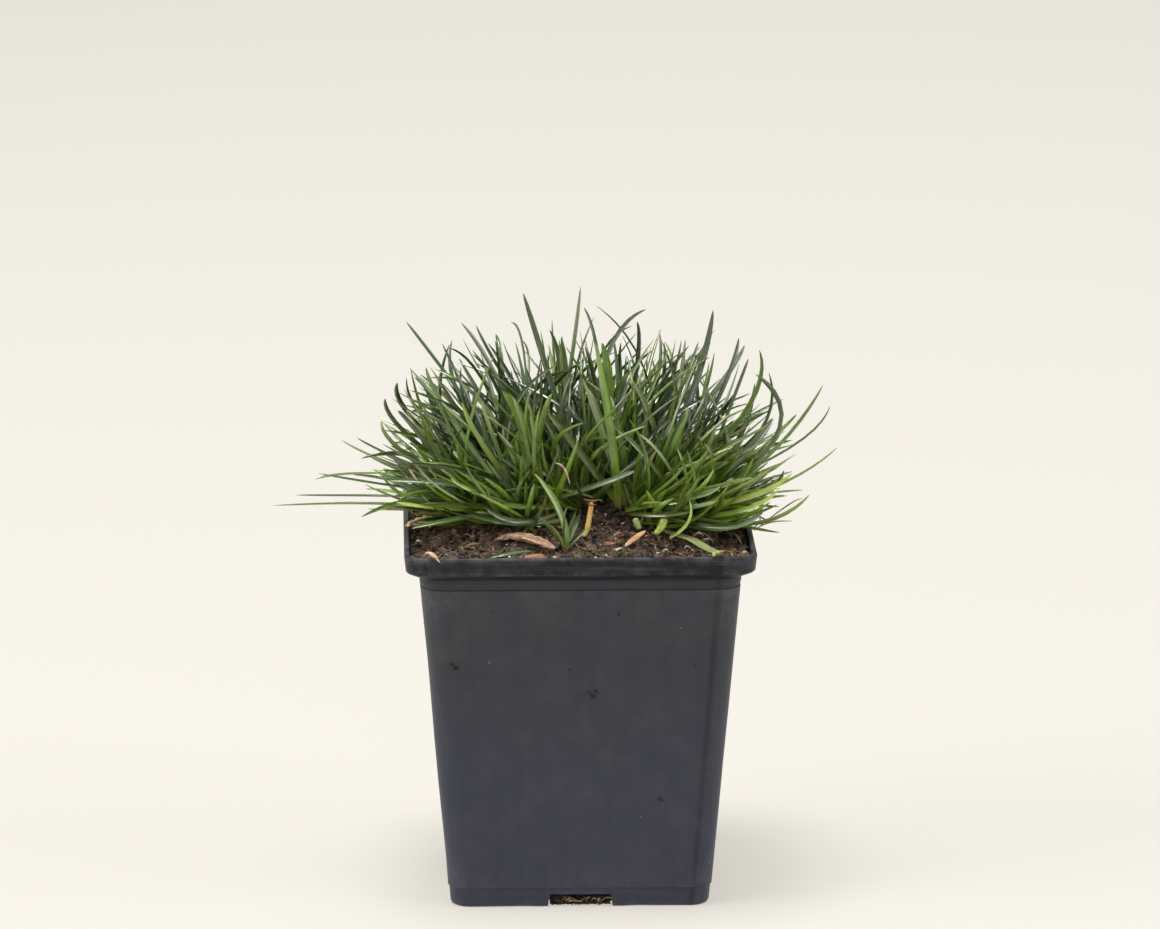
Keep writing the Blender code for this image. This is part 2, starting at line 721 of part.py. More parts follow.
class Litter:
    """Lays small pieces on the soil."""

    def __init__(self, tree):
        self.tree = tree

    def rest(self, x, y, radius):
        """The height at which something of a radius rests clear of the soil around x, y."""
        level = 0.0
        for dx, dy in ((0, 0), (1, 0), (-1, 0), (0, 1), (0, -1), (1, 1), (-1, 1), (1, -1), (-1, -1)):
            ground = ground_under(self.tree, x + dx * radius, y + dy * radius)
            rim = POT_HEIGHT if max(abs(x), abs(y)) + radius > RIM_HALF - RIM_WALL - GAP else 0.0
            level = max(level, rim, ground or 0.0)
        return level + GAP

    def strip(self, name, spots, width, thickness, material, sides=5):
        """A strip or stalk laid over spots given as x, y, share of full size and extra height in mm."""
        rings = []
        places = []
        for x, y, share, lift in spots:
            half = width / 2 * share * MM
            ground = self.rest(x * MM, y * MM, half)
            places.append(Vector((x * MM, y * MM, ground + (thickness / 2 * share + lift) * MM)))
        for index, (place, spot) in enumerate(zip(places, spots)):
            ahead = places[min(index + 1, len(places) - 1)] - places[max(index - 1, 0)]
            side = ahead.cross(Vector((0.0, 0.0, 1.0))).normalized()
            up = side.cross(ahead).normalized()
            share = spot[2]
            ring = []
            for step in range(sides):
                angle = 2 * math.pi * step / sides
                across = side * math.cos(angle) * width / 2 * share * MM
                ring.append(place + across + up * math.sin(angle) * thickness / 2 * share * MM)
            rings.append(ring)
        bm = bmesh.new()
        skins = loft(bm, rings)
        bm.faces.new(skins[0])
        bm.faces.new(reversed(skins[-1]))
        return add_object(name, bm, material, smooth_angle=50)

    def lump(self, name, x, y, size, turn, material):
        """A small stone-like lump of the given length, width and height in mm."""
        bm = bmesh.new()
        reach = min(size[0], size[1]) / 2 * MM
        centre = Vector((x * MM, y * MM, self.rest(x * MM, y * MM, reach) + size[2] / 2 * MM))
        bmesh.ops.create_icosphere(bm, subdivisions=1, radius=0.5)
        for vertex in bm.verts:
            vertex.co *= 1.0 + 0.25 * noise.noise(vertex.co * 3.0 + Vector((x, y, 0.0)))
        place = Matrix.Translation(centre) @ Matrix.Rotation(turn, 4, "Z")
        bm.transform(place @ Matrix.Diagonal((*(Vector(size) * MM), 1.0)))
        return add_object(name, bm, material, smooth_angle=40)


def build_litter(tree):
    """The husk, stalk, chips, splinter, root, cut leaves, nugget and the leaf along the rim."""
    litter = Litter(tree)
    straw = finish("straw", srgb(190, 150, 90), 0.7)
    husk = finish("husk", srgb(176, 134, 112), 0.7)
    bark = finish("bark", srgb(104, 62, 40), 0.8)
    cut_green = finish("cut_green", srgb(104, 128, 60), 0.45)
    litter.strip(
        "husk",
        (
            (-22.2, -28.5, 0.4, 0), (-18.5, -29, 1, 0), (-15, -32, 1, 0.3), (-11, -35, 0.9, 0.2),
            (-7.8, -36.6, 0.5, 0),
        ),
        3.0, 1.9, husk,
    )
    litter.strip(
        "straw_stalk", ((-0.2, -31.5, 0.8, 0), (0.8, -28, 1, 1.8), (2, -24, 0.8, 6)), 1.3, 1.1, straw,
    )
    litter.strip(
        "bark_chip", ((10.3, -35, 0.5, 0), (13, -31.8, 1, 0.6), (15.8, -28.9, 0.6, 1.2)), 2.0, 1.0, bark,
    )
    litter.strip(
        "splinter",
        ((-40.5, -41.3, 0.6, 1.5), (-39.4, -43.4, 1, 0.5), (-38.3, -45.3, 1, 0.2), (-37.3, -46.1, 0.5, -1.4)),
        1.6, 0.8, straw,
    )
    litter.strip(
        "shredded_root",
        ((-44.5, -12, 0.35, 0.3), (-42, -9.5, 0.8, 2.6), (-39, -6.5, 1, 1), (-35.5, -5, 0.7, 0)),
        3.0, 2.0, husk,
    )
    litter.strip(
        "cut_leaf",
        (
            (21.8, -22.5, 0.7, 0), (25, -25, 1, 0.5), (28.5, -31, 1, 2.4), (31.8, -38, 1, 2.3),
            (34, -44.3, 0.8, 0),
        ),
        2.2, 0.9, cut_green,
    )
    litter.strip(
        "cut_stub", ((14.2, -25.4, 1, 2.2), (14.8, -25.9, 1, 1.1), (15.4, -26.3, 0.8, 0)), 2.0, 1.6,
        cut_green,
    )
    litter.lump("nugget", -11.3, -41.2, (6.4, 2.8, 2.4), 0.1, bark)
    litter.strip(
        "rim_leaf", ((-22.5, -41.6, 0.4, 0), (-19.5, -40, 1, 0), (-16.5, -38, 1, 0), (-13.5, -36.4, 0.5, 0)),
        1.9, 0.8, finish("fallen_leaf", srgb(62, 76, 40), 0.5),
    )


def build_plant_and_soil():
    """The soil, the rosettes that stand in it and the leaves that are pieces of their own."""
    bm = soil_mesh()
    tree = BVHTree.FromBMesh(bm)
    soil = add_object("potting_soil", bm, finish("soil", srgb(66, 54, 42), 0.95), smooth_angle=30)
    rosettes = [Rosette(crown) for crown in CROWNS]
    hollows = notch_housings(GAP)
    for rosette in rosettes:
        rosette.add_egg(hollows, GAP + 0.1 * MM)
    shape_with(soil, add_guide("hollows", hollows), "DIFFERENCE")

    thicket = Thicket(rosettes)
    homes = {rosette.name: rosette for rosette in rosettes}
    fused = {rosette.name: [] for rosette in rosettes}
    leaf_green = finish("leaf_green", srgb(66, 84, 40), 0.4)
    number = 0
    for leaf in LEAVES:
        blade = place_leaf(leaf, homes[leaf.crown], thicket)
        if leaf.own_piece:
            number += 1
            bm = bmesh.new()
            blade.add_to(bm, LEAF_STATIONS)
            add_object(f"leaf_{number:02d}", bm, leaf_green, smooth_angle=60)
        else:
            fused[leaf.crown].append(blade)
    rosette_green = finish("rosette_green", srgb(72, 88, 42), 0.45)
    for turn, rosette in enumerate(rosettes):
        blades = fused[rosette.name] + fill_rosette(rosette, thicket, turn)
        build_rosette(rosette, blades, rosette_green)
    return tree


def main():
    """Builds the potted plant from an empty scene."""
    for thing in list(bpy.data.objects):
        bpy.data.objects.remove(thing, do_unlink=True)
    build_pot()
    tree = build_plant_and_soil()
    build_litter(tree)


main()
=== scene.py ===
"""Potted sea thrift in winter as it looks: the pot, the soil, the tuft of leaves and what lies on the soil.

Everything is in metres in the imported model's frame: +Z is up, -Y is the front, and the origin is the
middle of the pot's underside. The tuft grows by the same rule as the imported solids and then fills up.
"""

import logging
import math
import random
from dataclasses import dataclass, field
from enum import Enum
from typing import Iterable, Optional, Sequence, Union

import bmesh
import bpy
import numpy as np
from mathutils import Matrix, Quaternion, Vector, noise


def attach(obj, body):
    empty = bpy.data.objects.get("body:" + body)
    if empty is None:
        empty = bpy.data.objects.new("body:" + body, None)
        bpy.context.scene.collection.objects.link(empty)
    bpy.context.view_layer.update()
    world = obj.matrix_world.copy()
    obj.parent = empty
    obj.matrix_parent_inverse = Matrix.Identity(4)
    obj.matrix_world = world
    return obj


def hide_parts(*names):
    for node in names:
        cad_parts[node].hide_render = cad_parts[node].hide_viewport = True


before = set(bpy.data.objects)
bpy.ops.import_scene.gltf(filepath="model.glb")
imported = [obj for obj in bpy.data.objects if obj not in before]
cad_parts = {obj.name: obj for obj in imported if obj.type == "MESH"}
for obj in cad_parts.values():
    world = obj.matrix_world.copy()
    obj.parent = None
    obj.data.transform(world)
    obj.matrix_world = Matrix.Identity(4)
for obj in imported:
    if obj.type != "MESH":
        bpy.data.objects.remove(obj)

LOG = logging.getLogger("sea_thrift")
MM = 0.001
UP = Vector((0.0, 0.0, 1.0))
GOLDEN_ANGLE = math.radians(137.508)
BODY = "root"
VALUES = ("along", "across", "seed", "brown")

Colour = tuple[float, float, float]
Socket = bpy.types.NodeSocket
Thing = bpy.types.Object
Material = bpy.types.Material
Node = bpy.types.Node
Tree = bpy.types.NodeTree
Solid = bmesh.types.BMesh
Feed = Union[Socket, float, Sequence[float]]
PLAIN: Colour = (1.0, 1.0, 1.0)


def mm(x: float, y: float, z: float) -> Vector:
    """The point x, y, z given in millimetres."""
    return Vector((x, y, z)) * MM


def screen(red: float, green: float, blue: float) -> Colour:
    """The linear colour of a screen colour given from 0 to 255."""
    values = (red / 255, green / 255, blue / 255)
    return tuple(v / 12.92 if v <= 0.04045 else ((v + 0.055) / 1.055) ** 2.4 for v in values)


def blended(first: Colour, second: Colour, share: float) -> Colour:
    """A colour between two, the second by its share."""
    return tuple(a + (b - a) * share for a, b in zip(first, second))


def ramp(value: float, low: float, high: float) -> float:
    """A smooth step from 0 at low to 1 at high; low may be the larger."""
    share = min(1.0, max(0.0, (value - low) / (high - low)))
    return share * share * (3 - 2 * share)


def shaded(colour: Colour, light: float) -> Colour:
    """A colour made lighter or darker."""
    return tuple(part * light for part in colour)


# Meshes


def linked(name: str, data: bpy.types.ID) -> Thing:
    """Makes an object and links it to the scene.

    Args:
        name: its name.
        data: its mesh, light or camera.

    Returns:
        The object.
    """
    thing = bpy.data.objects.new(name, data)
    bpy.context.scene.collection.objects.link(thing)
    return thing


@dataclass
class Skin:
    """Gathers the points and faces of one piece, with values at each point, and makes its object."""

    points: list[Sequence[float]] = field(default_factory=list)
    faces: list[Sequence[int]] = field(default_factory=list)
    tints: list[Colour] = field(default_factory=list)
    values: dict[str, list[float]] = field(default_factory=lambda: {name: [] for name in VALUES})

    def add(self, points: Iterable[Sequence[float]], tint: Colour = PLAIN, **values: object) -> list[int]:
        """Adds points with one tint.

        Args:
            points: where the points are.
            tint: their colour.
            values: a number for all of them, or a list with one each, for along, across, seed and brown.

        Returns:
            The new points' numbers.
        """
        start = len(self.points)
        self.points.extend(points)
        count = len(self.points) - start
        self.tints.extend([tint] * count)
        for name, known in self.values.items():
            value = values.get(name, 0.0)
            known.extend(value if isinstance(value, list) else [value] * count)
        return list(range(start, start + count))

    def band(self, lower: Sequence[int], upper: Sequence[int]) -> None:
        """Joins two rings of the same number of points with faces.

        Args:
            lower: the first ring's numbers.
            upper: the second ring's numbers.
        """
        count = len(lower)
        for index in range(count):
            following = (index + 1) % count
            self.faces.append((lower[index], lower[following], upper[following], upper[index]))

    def tube(self, rings: Sequence[Sequence[int]]) -> None:
        """Joins rings, each to the next, and closes the first and the last.

        Args:
            rings: the numbers of each ring's points.
        """
        for lower, upper in zip(rings, rings[1:]):
            self.band(lower, upper)
        self.faces += [list(reversed(rings[0])), rings[-1]]

    def fan(self, ring: Sequence[int], point: int) -> None:
        """Closes a ring with faces that meet in one point."""
        for index, corner in enumerate(ring):
            self.faces.append((corner, ring[(index + 1) % len(ring)], point))

    def shape(self, points: np.ndarray, faces: np.ndarray, tint: Colour, seed: float) -> None:
        """Adds a ready shape: its points, and its faces as numbers of those points.

        Args:
            points: a row for each point.
            faces: a row for each face.
            tint: their colour.
            seed: the number that its finish varies by.
        """
        start = len(self.points)
        self.add(points.tolist(), tint, seed=seed)
        self.faces.extend((faces + start).tolist())

    def piece(self, name: str, material: Material, angle: float = 60.0) -> Thing:
        """Makes the object, with its faces pointing out and smooth up to an angle in degrees.

        Args:
            name: the object's name.
            material: its finish.
            angle: the least angle of an edge that stays sharp, in degrees.

        Returns:
            The object.
        """
        mesh = bpy.data.meshes.new(name)
        mesh.from_pydata(self.points, [], self.faces)
        for key, values in self.values.items():
            attribute = mesh.attributes.new(key, "FLOAT", "POINT")
            attribute.data.foreach_set("value", values)
        tint = mesh.color_attributes.new(name="tint", type="FLOAT_COLOR", domain="POINT")
        tint.data.foreach_set("color", [part for colour in self.tints for part in (*colour, 1.0)])
        mesh.materials.append(material)
        thing = linked(name, mesh)
        face_outwards(mesh)
        mesh.shade_smooth()
        mesh.set_sharp_from_angle(angle=math.radians(angle))
        return thing


def face_outwards(mesh: bpy.types.Mesh) -> None:
    """Turns a closed mesh's faces outwards.

    Args:
        mesh: the mesh that is changed.
    """
    bm = bmesh.new()
    bm.from_mesh(mesh)
    bmesh.ops.recalc_face_normals(bm, faces=bm.faces)
    bm.to_mesh(mesh)
    bm.free()


def dress(piece: Thing, nodes: Sequence[str] = ()) -> None:
    """Lets a piece ride on the part and the nodes that it stands for, and reports it.

    Args:
        piece: the object.
        nodes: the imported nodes' names.
    """
    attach(piece, BODY)
    if nodes:
        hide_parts(*nodes)
    LOG.info("%s: %d faces, stands for %d nodes", piece.name, len(piece.data.polygons), len(nodes))


def smooth_path(spots: Sequence[Vector], count: int) -> list[Vector]:
    """Points spread along a smooth curve through the given spots.

    Args:
        spots: what the curve passes through.
        count: how many points it gets.

    Returns:
        The points.
    """
    ends = [spots[0] * 2 - spots[1], *spots, spots[-1] * 2 - spots[-2]]
    path = []
    for index in range(count):
        place = index / (count - 1) * (len(spots) - 1)
        span = min(int(place), len(spots) - 2)
        t = place - span
        a, b, c, d = ends[span:span + 4]
        curve = b * 2 + (c - a) * t + (a * 2 - b * 5 + c * 4 - d) * t ** 2 + (b * 3 - a - c * 3 + d) * t ** 3
        path.append(curve / 2)
    return path


def framed_path(spots: Sequence[Vector], count: int) -> Iterable[tuple[float, Vector, Vector, Vector]]:
    """Points along a smooth curve, each with its share of the way and the directions to its side and up.

    Args:
        spots: what the curve passes through.
        count: how many points it gets.

    Returns:
        The share, the point and the two directions, one set after the other.
    """
    path = smooth_path(spots, count)
    for index, place in enumerate(path):
        ahead = path[min(index + 1, count - 1)] - path[max(index - 1, 0)]
        side = ahead.cross(UP).normalized()
        yield index / (count - 1), place, side, side.cross(ahead).normalized()


# Node groups


@dataclass
class Wiring:
    """Adds nodes to one node tree and joins them."""

    tree: Tree

    def add(self, kind: str, *feeds: Optional[Feed], **settings: object) -> Node:
        """Adds a node.

        Args:
            kind: Blender's name for it.
            feeds: what its sockets get in order, or None.
            settings: its own settings by name.

        Returns:
            The node.
        """
        node = self.tree.nodes.new(kind)
        for name, value in settings.items():
            setattr(node, name, value)
        for socket, value in zip(node.inputs, feeds):
            if value is not None:
                self.feed(socket, value)
        return node

    def feed(self, socket: Socket, value: Feed) -> None:
        """Joins a socket to another, or sets its value.

        Args:
            socket: what is fed.
            value: a socket, or the value itself.
        """
        if isinstance(value, Socket):
            self.tree.links.new(value, socket)
        elif socket.type == "RGBA" and len(value) == 3:
            socket.default_value = (*value, 1.0)
        else:
            socket.default_value = value

    def math(self, operation: str, *numbers: Feed) -> Socket:
        """The result of a sum, product or other operation on numbers."""
        return self.add("ShaderNodeMath", *numbers, operation=operation).outputs[0]

    def mix(self, share: Feed, first: Feed, second: Feed, blend: str = "MIX") -> Socket:
        """A mix of two colours, whose sockets come after five that other kinds of mix use."""
        feeds = (share, *[None] * 5, first, second)
        return self.add("ShaderNodeMix", *feeds, data_type="RGBA", blend_type=blend).outputs[2]

    def times(self, first: Feed, second: Feed) -> Socket:
        """The product of two colours."""
        return self.mix(1.0, first, second, "MULTIPLY")

    def step(self, value: Feed, low: float, high: float, start: float = 0.0, end: float = 1.0) -> Socket:
        """A smooth step of a number from start at low to end at high."""
        feeds = (value, low, high, start, end)
        return self.add("ShaderNodeMapRange", *feeds, interpolation_type="SMOOTHSTEP").outputs[0]

    def stretch(self, place: Feed, factors: Feed) -> Socket:
        """A place with each coordinate multiplied."""
        return self.add("ShaderNodeVectorMath", place, factors, operation="MULTIPLY").outputs[0]

    def noise(self, place: Feed, scale: Feed, detail: float = 3.0, roughness: float = 0.55) -> Socket:
        """Cloudy noise from 0 to 1 at a place."""
        return self.add("ShaderNodeTexNoise", place, None, scale, detail, roughness).outputs[0]

    def value(self, name: str) -> Socket:
        """A number kept at each point of the mesh."""
        return self.add("ShaderNodeAttribute", attribute_name=name).outputs["Fac"]

    def tint(self) -> Socket:
        """The colour kept at each point of the mesh."""
        return self.add("ShaderNodeAttribute", attribute_name="tint").outputs["Color"]

    def place(self) -> Socket:
        """The place on the object in metres."""
        return self.add("ShaderNodeTexCoord").outputs["Object"]

    def height_of(self, place: Socket) -> Socket:
        """The z coordinate of a place."""
        return self.add("ShaderNodeSeparateXYZ", place).outputs["Z"]

    def spot(self, across: Feed, along: Feed, depth: Feed) -> Socket:
        """A place made of three numbers."""
        return self.add("ShaderNodeCombineXYZ", across, along, depth).outputs[0]

    def corner_line(self, place: Socket, where: float, width: float) -> Socket:
        """A mask of a soft line down each of four sides.

        Args:
            place: the place on the object.
            where: how far round each quarter turn the line is, from 0 to 1.
            width: its half width as a share of a quarter turn.

        Returns:
            The mask.
        """
        parts = self.add("ShaderNodeSeparateXYZ", place)
        angle = self.math("ARCTAN2", parts.outputs["Y"], parts.outputs["X"])
        turned = self.math("FRACT", self.math("MULTIPLY_ADD", angle, 2 / math.pi, 2.0))
        away = self.math("ABSOLUTE", self.math("SUBTRACT", turned, where))
        return self.step(away, width, 0.0, 0.0, 0.45)

    def give(self, node: Node, **values: Optional[Feed]) -> Node:
        """Feeds sockets by their names, with underscores for the spaces in them.

        Args:
            node: the node.
            values: what each socket gets, or None to leave it.

        Returns:
            The same node.
        """
        for name, value in values.items():
            if value is not None:
                self.feed(node.inputs[name.replace("_", " ")], value)
        return node

    def group(self, tree: Tree, **values: Feed) -> Node:
        """Places a node group with its own values."""
        return self.give(self.add("ShaderNodeGroup", node_tree=tree), **values)

    def bump(
        self, height: Socket, distance: float, strength: float = 1.0, normal: Optional[Socket] = None,
    ) -> Socket:
        """A normal bent by a height, for a given real relief in metres."""
        values = {"Strength": strength, "Distance": distance, "Height": height, "Normal": normal}
        return self.give(self.add("ShaderNodeBump"), **values).outputs[0]


def new_group(name: str, inputs: dict[str, str], outputs: dict[str, str]) -> tuple[Wiring, Socket, Socket]:
    """Starts a shader node group.

    Args:
        name: the group's name.
        inputs: each input's name and kind, such as Float, Vector or Color.
        outputs: each output's name and kind.

    Returns:
        The wiring of the new tree, the sockets that bring its inputs and the sockets that take its outputs.
    """
    tree = bpy.data.node_groups.new(name, "ShaderNodeTree")
    for key, kind in inputs.items():
        tree.interface.new_socket(name=key, in_out="INPUT", socket_type=f"NodeSocket{kind}")
    for key, kind in outputs.items():
        tree.interface.new_socket(name=key, in_out="OUTPUT", socket_type=f"NodeSocket{kind}")
    wiring = Wiring(tree)
    return wiring, wiring.add("NodeGroupInput").outputs, wiring.add("NodeGroupOutput").inputs


def grain_group() -> Tree:
    """Coarse and fine cloudy grain, stretched as asked.

    Returns:
        The group.
    """
    inputs = {"Place": "Vector", "Stretch": "Vector", "Scale": "Float"}
    wiring, given, wanted = new_group("grain", inputs, {"Coarse": "Float", "Fine": "Float"})
    place = wiring.stretch(given["Place"], given["Stretch"])
    wiring.feed(wanted["Coarse"], wiring.noise(place, given["Scale"], 4.0))
    fine = wiring.math("MULTIPLY", given["Scale"], 4.3)
    wiring.feed(wanted["Fine"], wiring.noise(place, fine, 2.0))
    return wiring.tree


def speck_group() -> Tree:
    """Scattered round specks, as a mask: only some cells have one, and each has its own size.

    Returns:
        The group.
    """
    inputs = {"Place": "Vector", "Scale": "Float", "Share": "Float"}
    wiring, given, wanted = new_group("specks", inputs, {"Mask": "Float"})
    cells = wiring.add("ShaderNodeTexVoronoi", given["Place"], None, given["Scale"])
    pick = wiring.add("ShaderNodeSeparateColor", cells.outputs["Color"])
    there = wiring.math("LESS_THAN", pick.outputs[0], given["Share"])
    size = wiring.math("MULTIPLY_ADD", pick.outputs[1], 0.22, 0.08)
    near = wiring.math("DIVIDE", cells.outputs["Distance"], size)
    wiring.feed(wanted["Mask"], wiring.math("MULTIPLY", there, wiring.step(near, 1.0, 0.6)))
    return wiring.tree


def dust_group() -> Tree:
    """Dust that lies on a surface in clouds, more where it faces up: gives the dusty colour and its mask.

    Returns:
        The group.
    """
    wiring, given, wanted = new_group(
        "dust",
        {"Place": "Vector", "Scale": "Float", "Amount": "Float", "Colour": "Color", "Dust": "Color"},
        {"Colour": "Color", "Mask": "Float"},
    )
    clouds = wiring.step(wiring.noise(given["Place"], given["Scale"], 5.0, 0.65), 0.42, 0.72)
    facing = wiring.height_of(wiring.add("ShaderNodeNewGeometry").outputs["Normal"])
    lying = wiring.step(facing, -0.2, 0.9, 0.45, 1.0)
    mask = wiring.math("MULTIPLY", wiring.math("MULTIPLY", clouds, lying), given["Amount"])
    wiring.feed(wanted["Mask"], mask)
    wiring.feed(wanted["Colour"], wiring.mix(mask, given["Colour"], given["Dust"]))
    return wiring.tree


def edge_group() -> Tree:
    """Worn edges, as a mask broken up by noise.

    Returns:
        The group.
    """
    inputs = {"Place": "Vector", "Scale": "Float", "Amount": "Float"}
    wiring, given, wanted = new_group("edge_wear", inputs, {"Mask": "Float"})
    sharp = wiring.step(wiring.add("ShaderNodeNewGeometry").outputs["Pointiness"], 0.505, 0.56)
    broken = wiring.step(wiring.noise(given["Place"], given["Scale"], 4.0, 0.7), 0.4, 0.65)
    mask = wiring.math("MULTIPLY", wiring.math("MULTIPLY", sharp, broken), given["Amount"])
    wiring.feed(wanted["Mask"], mask)
    return wiring.tree


@dataclass(frozen=True)
class Effects:
    """The node groups that several finishes share."""

    grain: Tree = field(default_factory=grain_group)
    specks: Tree = field(default_factory=speck_group)
    dust: Tree = field(default_factory=dust_group)
    edge_wear: Tree = field(default_factory=edge_group)


EFFECTS = Effects()


def grained(
    wiring: Wiring, place: Socket, scale: float, stretch: Sequence[float] = PLAIN,
) -> tuple[Socket, Socket]:
    """Coarse and fine grain at a place."""
    node = wiring.group(EFFECTS.grain, Place=place, Stretch=stretch, Scale=scale)
    return node.outputs["Coarse"], node.outputs["Fine"]


def lit(wiring: Wiring, colour: Feed, mask: Socket, *limits: float) -> Socket:
    """A colour times a smooth step of a mask, whose limits are those of Wiring.step."""
    return wiring.times(colour, wiring.step(mask, *limits))


# Finishes


def new_material(name: str) -> tuple[Material, Wiring, Node]:
    """A material, the wiring of its tree and its Principled shader.

    Args:
        name: the material's name.

    Returns:
        All three.
    """
    material = bpy.data.materials.new(name)
    material.use_nodes = True
    return material, Wiring(material.node_tree), material.node_tree.nodes["Principled BSDF"]


@dataclass(frozen=True)
class PotPlastic:
    """Dark slate grey moulded plastic: satin, faintly streaked up and down, dusty, with worn edges; its rim
    band is painted near black as shade, with painted sheen streaks, and a painted shade line runs down each
    side by its corner.
    """

    upper: Colour = screen(48, 50, 56)
    lower: Colour = screen(49, 50, 65)
    # rim: a near black painted on the rim band as shade; the painted shade line by each corner takes it too
    rim: Colour = screen(3, 3, 12)
    # A lighter colour in horizontal streaks on the rim band: painted sheen.
    sheen_streak: Colour = screen(72, 72, 82)
    sheen_streak_share: float = 0.4
    sheen_streak_stretch: tuple[float, float, float] = (0.06, 0.06, 1.0)
    sheen_streak_scale: float = 900.0
    rim_low: float = 86.5 * MM
    rim_high: float = 90.4 * MM
    worn: Colour = screen(104, 104, 110)
    edge_wear: float = 0.35
    dust: Colour = screen(112, 104, 92)
    dustiness: float = 0.16
    turn_low: float = 20.0 * MM
    turn_high: float = 75.0 * MM
    cloud_scale: float = 38.0
    cloud_reach: float = 30.0 * MM
    # Where the painted shade line by each corner runs, as a share of a quarter turn, and its half width.
    shade_line_place: float = 0.452
    shade_line_width: float = 0.016
    roughness: float = 0.46
    gloss: float = 0.3
    streak_stretch: tuple[float, float, float] = (1.0, 1.0, 0.05)
    streak_scale: float = 420.0
    grain_scale: float = 2600.0
    relief: float = 0.04 * MM

    def material(self) -> Material:
        """Builds the material.

        Returns:
            The material.
        """
        material, wiring, shader = new_material("pot_plastic")
        place = wiring.place()
        streaks, fine_streaks = grained(wiring, place, self.streak_scale, self.streak_stretch)
        grain = grained(wiring, place, self.grain_scale)[1]
        clouds = wiring.noise(place, self.cloud_scale)
        height = wiring.math("MULTIPLY_ADD", clouds, self.cloud_reach, wiring.height_of(place))
        lift = self.cloud_reach / 2
        tone = wiring.step(height, self.turn_low + lift, self.turn_high + lift)
        colour = lit(wiring, wiring.mix(tone, self.lower, self.upper), streaks, 0.3, 0.7, 0.95, 1.06)
        # Horizontal streaks of painted sheen on the rim.
        lines = grained(wiring, place, self.sheen_streak_scale, self.sheen_streak_stretch)[0]
        sheen_streaked = wiring.step(lines, 0.45, 0.75, 0.0, self.sheen_streak_share)
        # The rim band's near black is painted shade, with the painted sheen streaks mixed in.
        rim = wiring.mix(sheen_streaked, self.rim, self.sheen_streak)
        at_rim = wiring.step(wiring.height_of(place), self.rim_low, self.rim_high)
        # A soft dark line down each side by its corner: painted shade where the flat side turns into the
        # round corner.
        colour = wiring.mix(wiring.corner_line(place, self.shade_line_place, self.shade_line_width), colour, self.rim)
        colour = wiring.mix(at_rim, colour, rim)
        wear = wiring.group(EFFECTS.edge_wear, Place=place, Scale=260.0, Amount=self.edge_wear)
        colour = wiring.mix(wear.outputs["Mask"], colour, self.worn)
        dusty = wiring.group(
            EFFECTS.dust, Place=place, Scale=110.0, Amount=self.dustiness, Colour=colour, Dust=self.dust,
        )
        specks = wiring.group(EFFECTS.specks, Place=place, Scale=900.0, Share=0.003)
        colour = wiring.mix(specks.outputs["Mask"], dusty.outputs["Colour"], self.dust)
        rough = wiring.math("MULTIPLY_ADD", fine_streaks, 0.1, self.roughness - 0.05)
        rough = wiring.math("MULTIPLY_ADD", dusty.outputs["Mask"], 0.5, rough)
        ribs = wiring.bump(streaks, self.relief * 2)
        normal = wiring.bump(grain, self.relief, 0.5, ribs)
        wiring.give(shader, Base_Color=colour, Roughness=rough, Normal=normal, Specular_IOR_Level=self.gloss)
        return material


@dataclass(frozen=True)
class SoilFinish:
    """Moist dark potting soil: brown clods, painted darker in their hollows as shade and lighter on their
    tops as light, and pale grains.
    """

    name: str = "soil"
    roughness: float = 0.93
    wet_roughness: float = 0.7
    grain_scale: float = 620.0
    relief: float = 0.35 * MM
    pale: Colour = screen(176, 158, 130)
    pale_share: float = 0.07

    def material(self) -> Material:
        """Builds the material.

        Returns:
            The material.
        """
        material, wiring, shader = new_material(self.name)
        place = wiring.place()
        grain, fine = grained(wiring, place, self.grain_scale)
        # The colour follows the bump's height below: painted shade in the clods' hollows and painted light on
        # their tops.
        colour = lit(wiring, wiring.tint(), grain, 0.3, 0.72, 0.4, 1.6)
        colour = lit(wiring, colour, fine, 0.3, 0.75, 0.65, 1.45)
        specks = wiring.group(EFFECTS.specks, Place=place, Scale=950.0, Share=self.pale_share)
        colour = wiring.mix(specks.outputs["Mask"], colour, self.pale)
        rough = wiring.step(grain, 0.3, 0.7, self.roughness, self.wet_roughness)
        normal = wiring.bump(fine, self.relief / 3, 0.7, wiring.bump(grain, self.relief))
        wiring.give(shader, Base_Color=colour, Roughness=rough, Normal=normal)
        return material


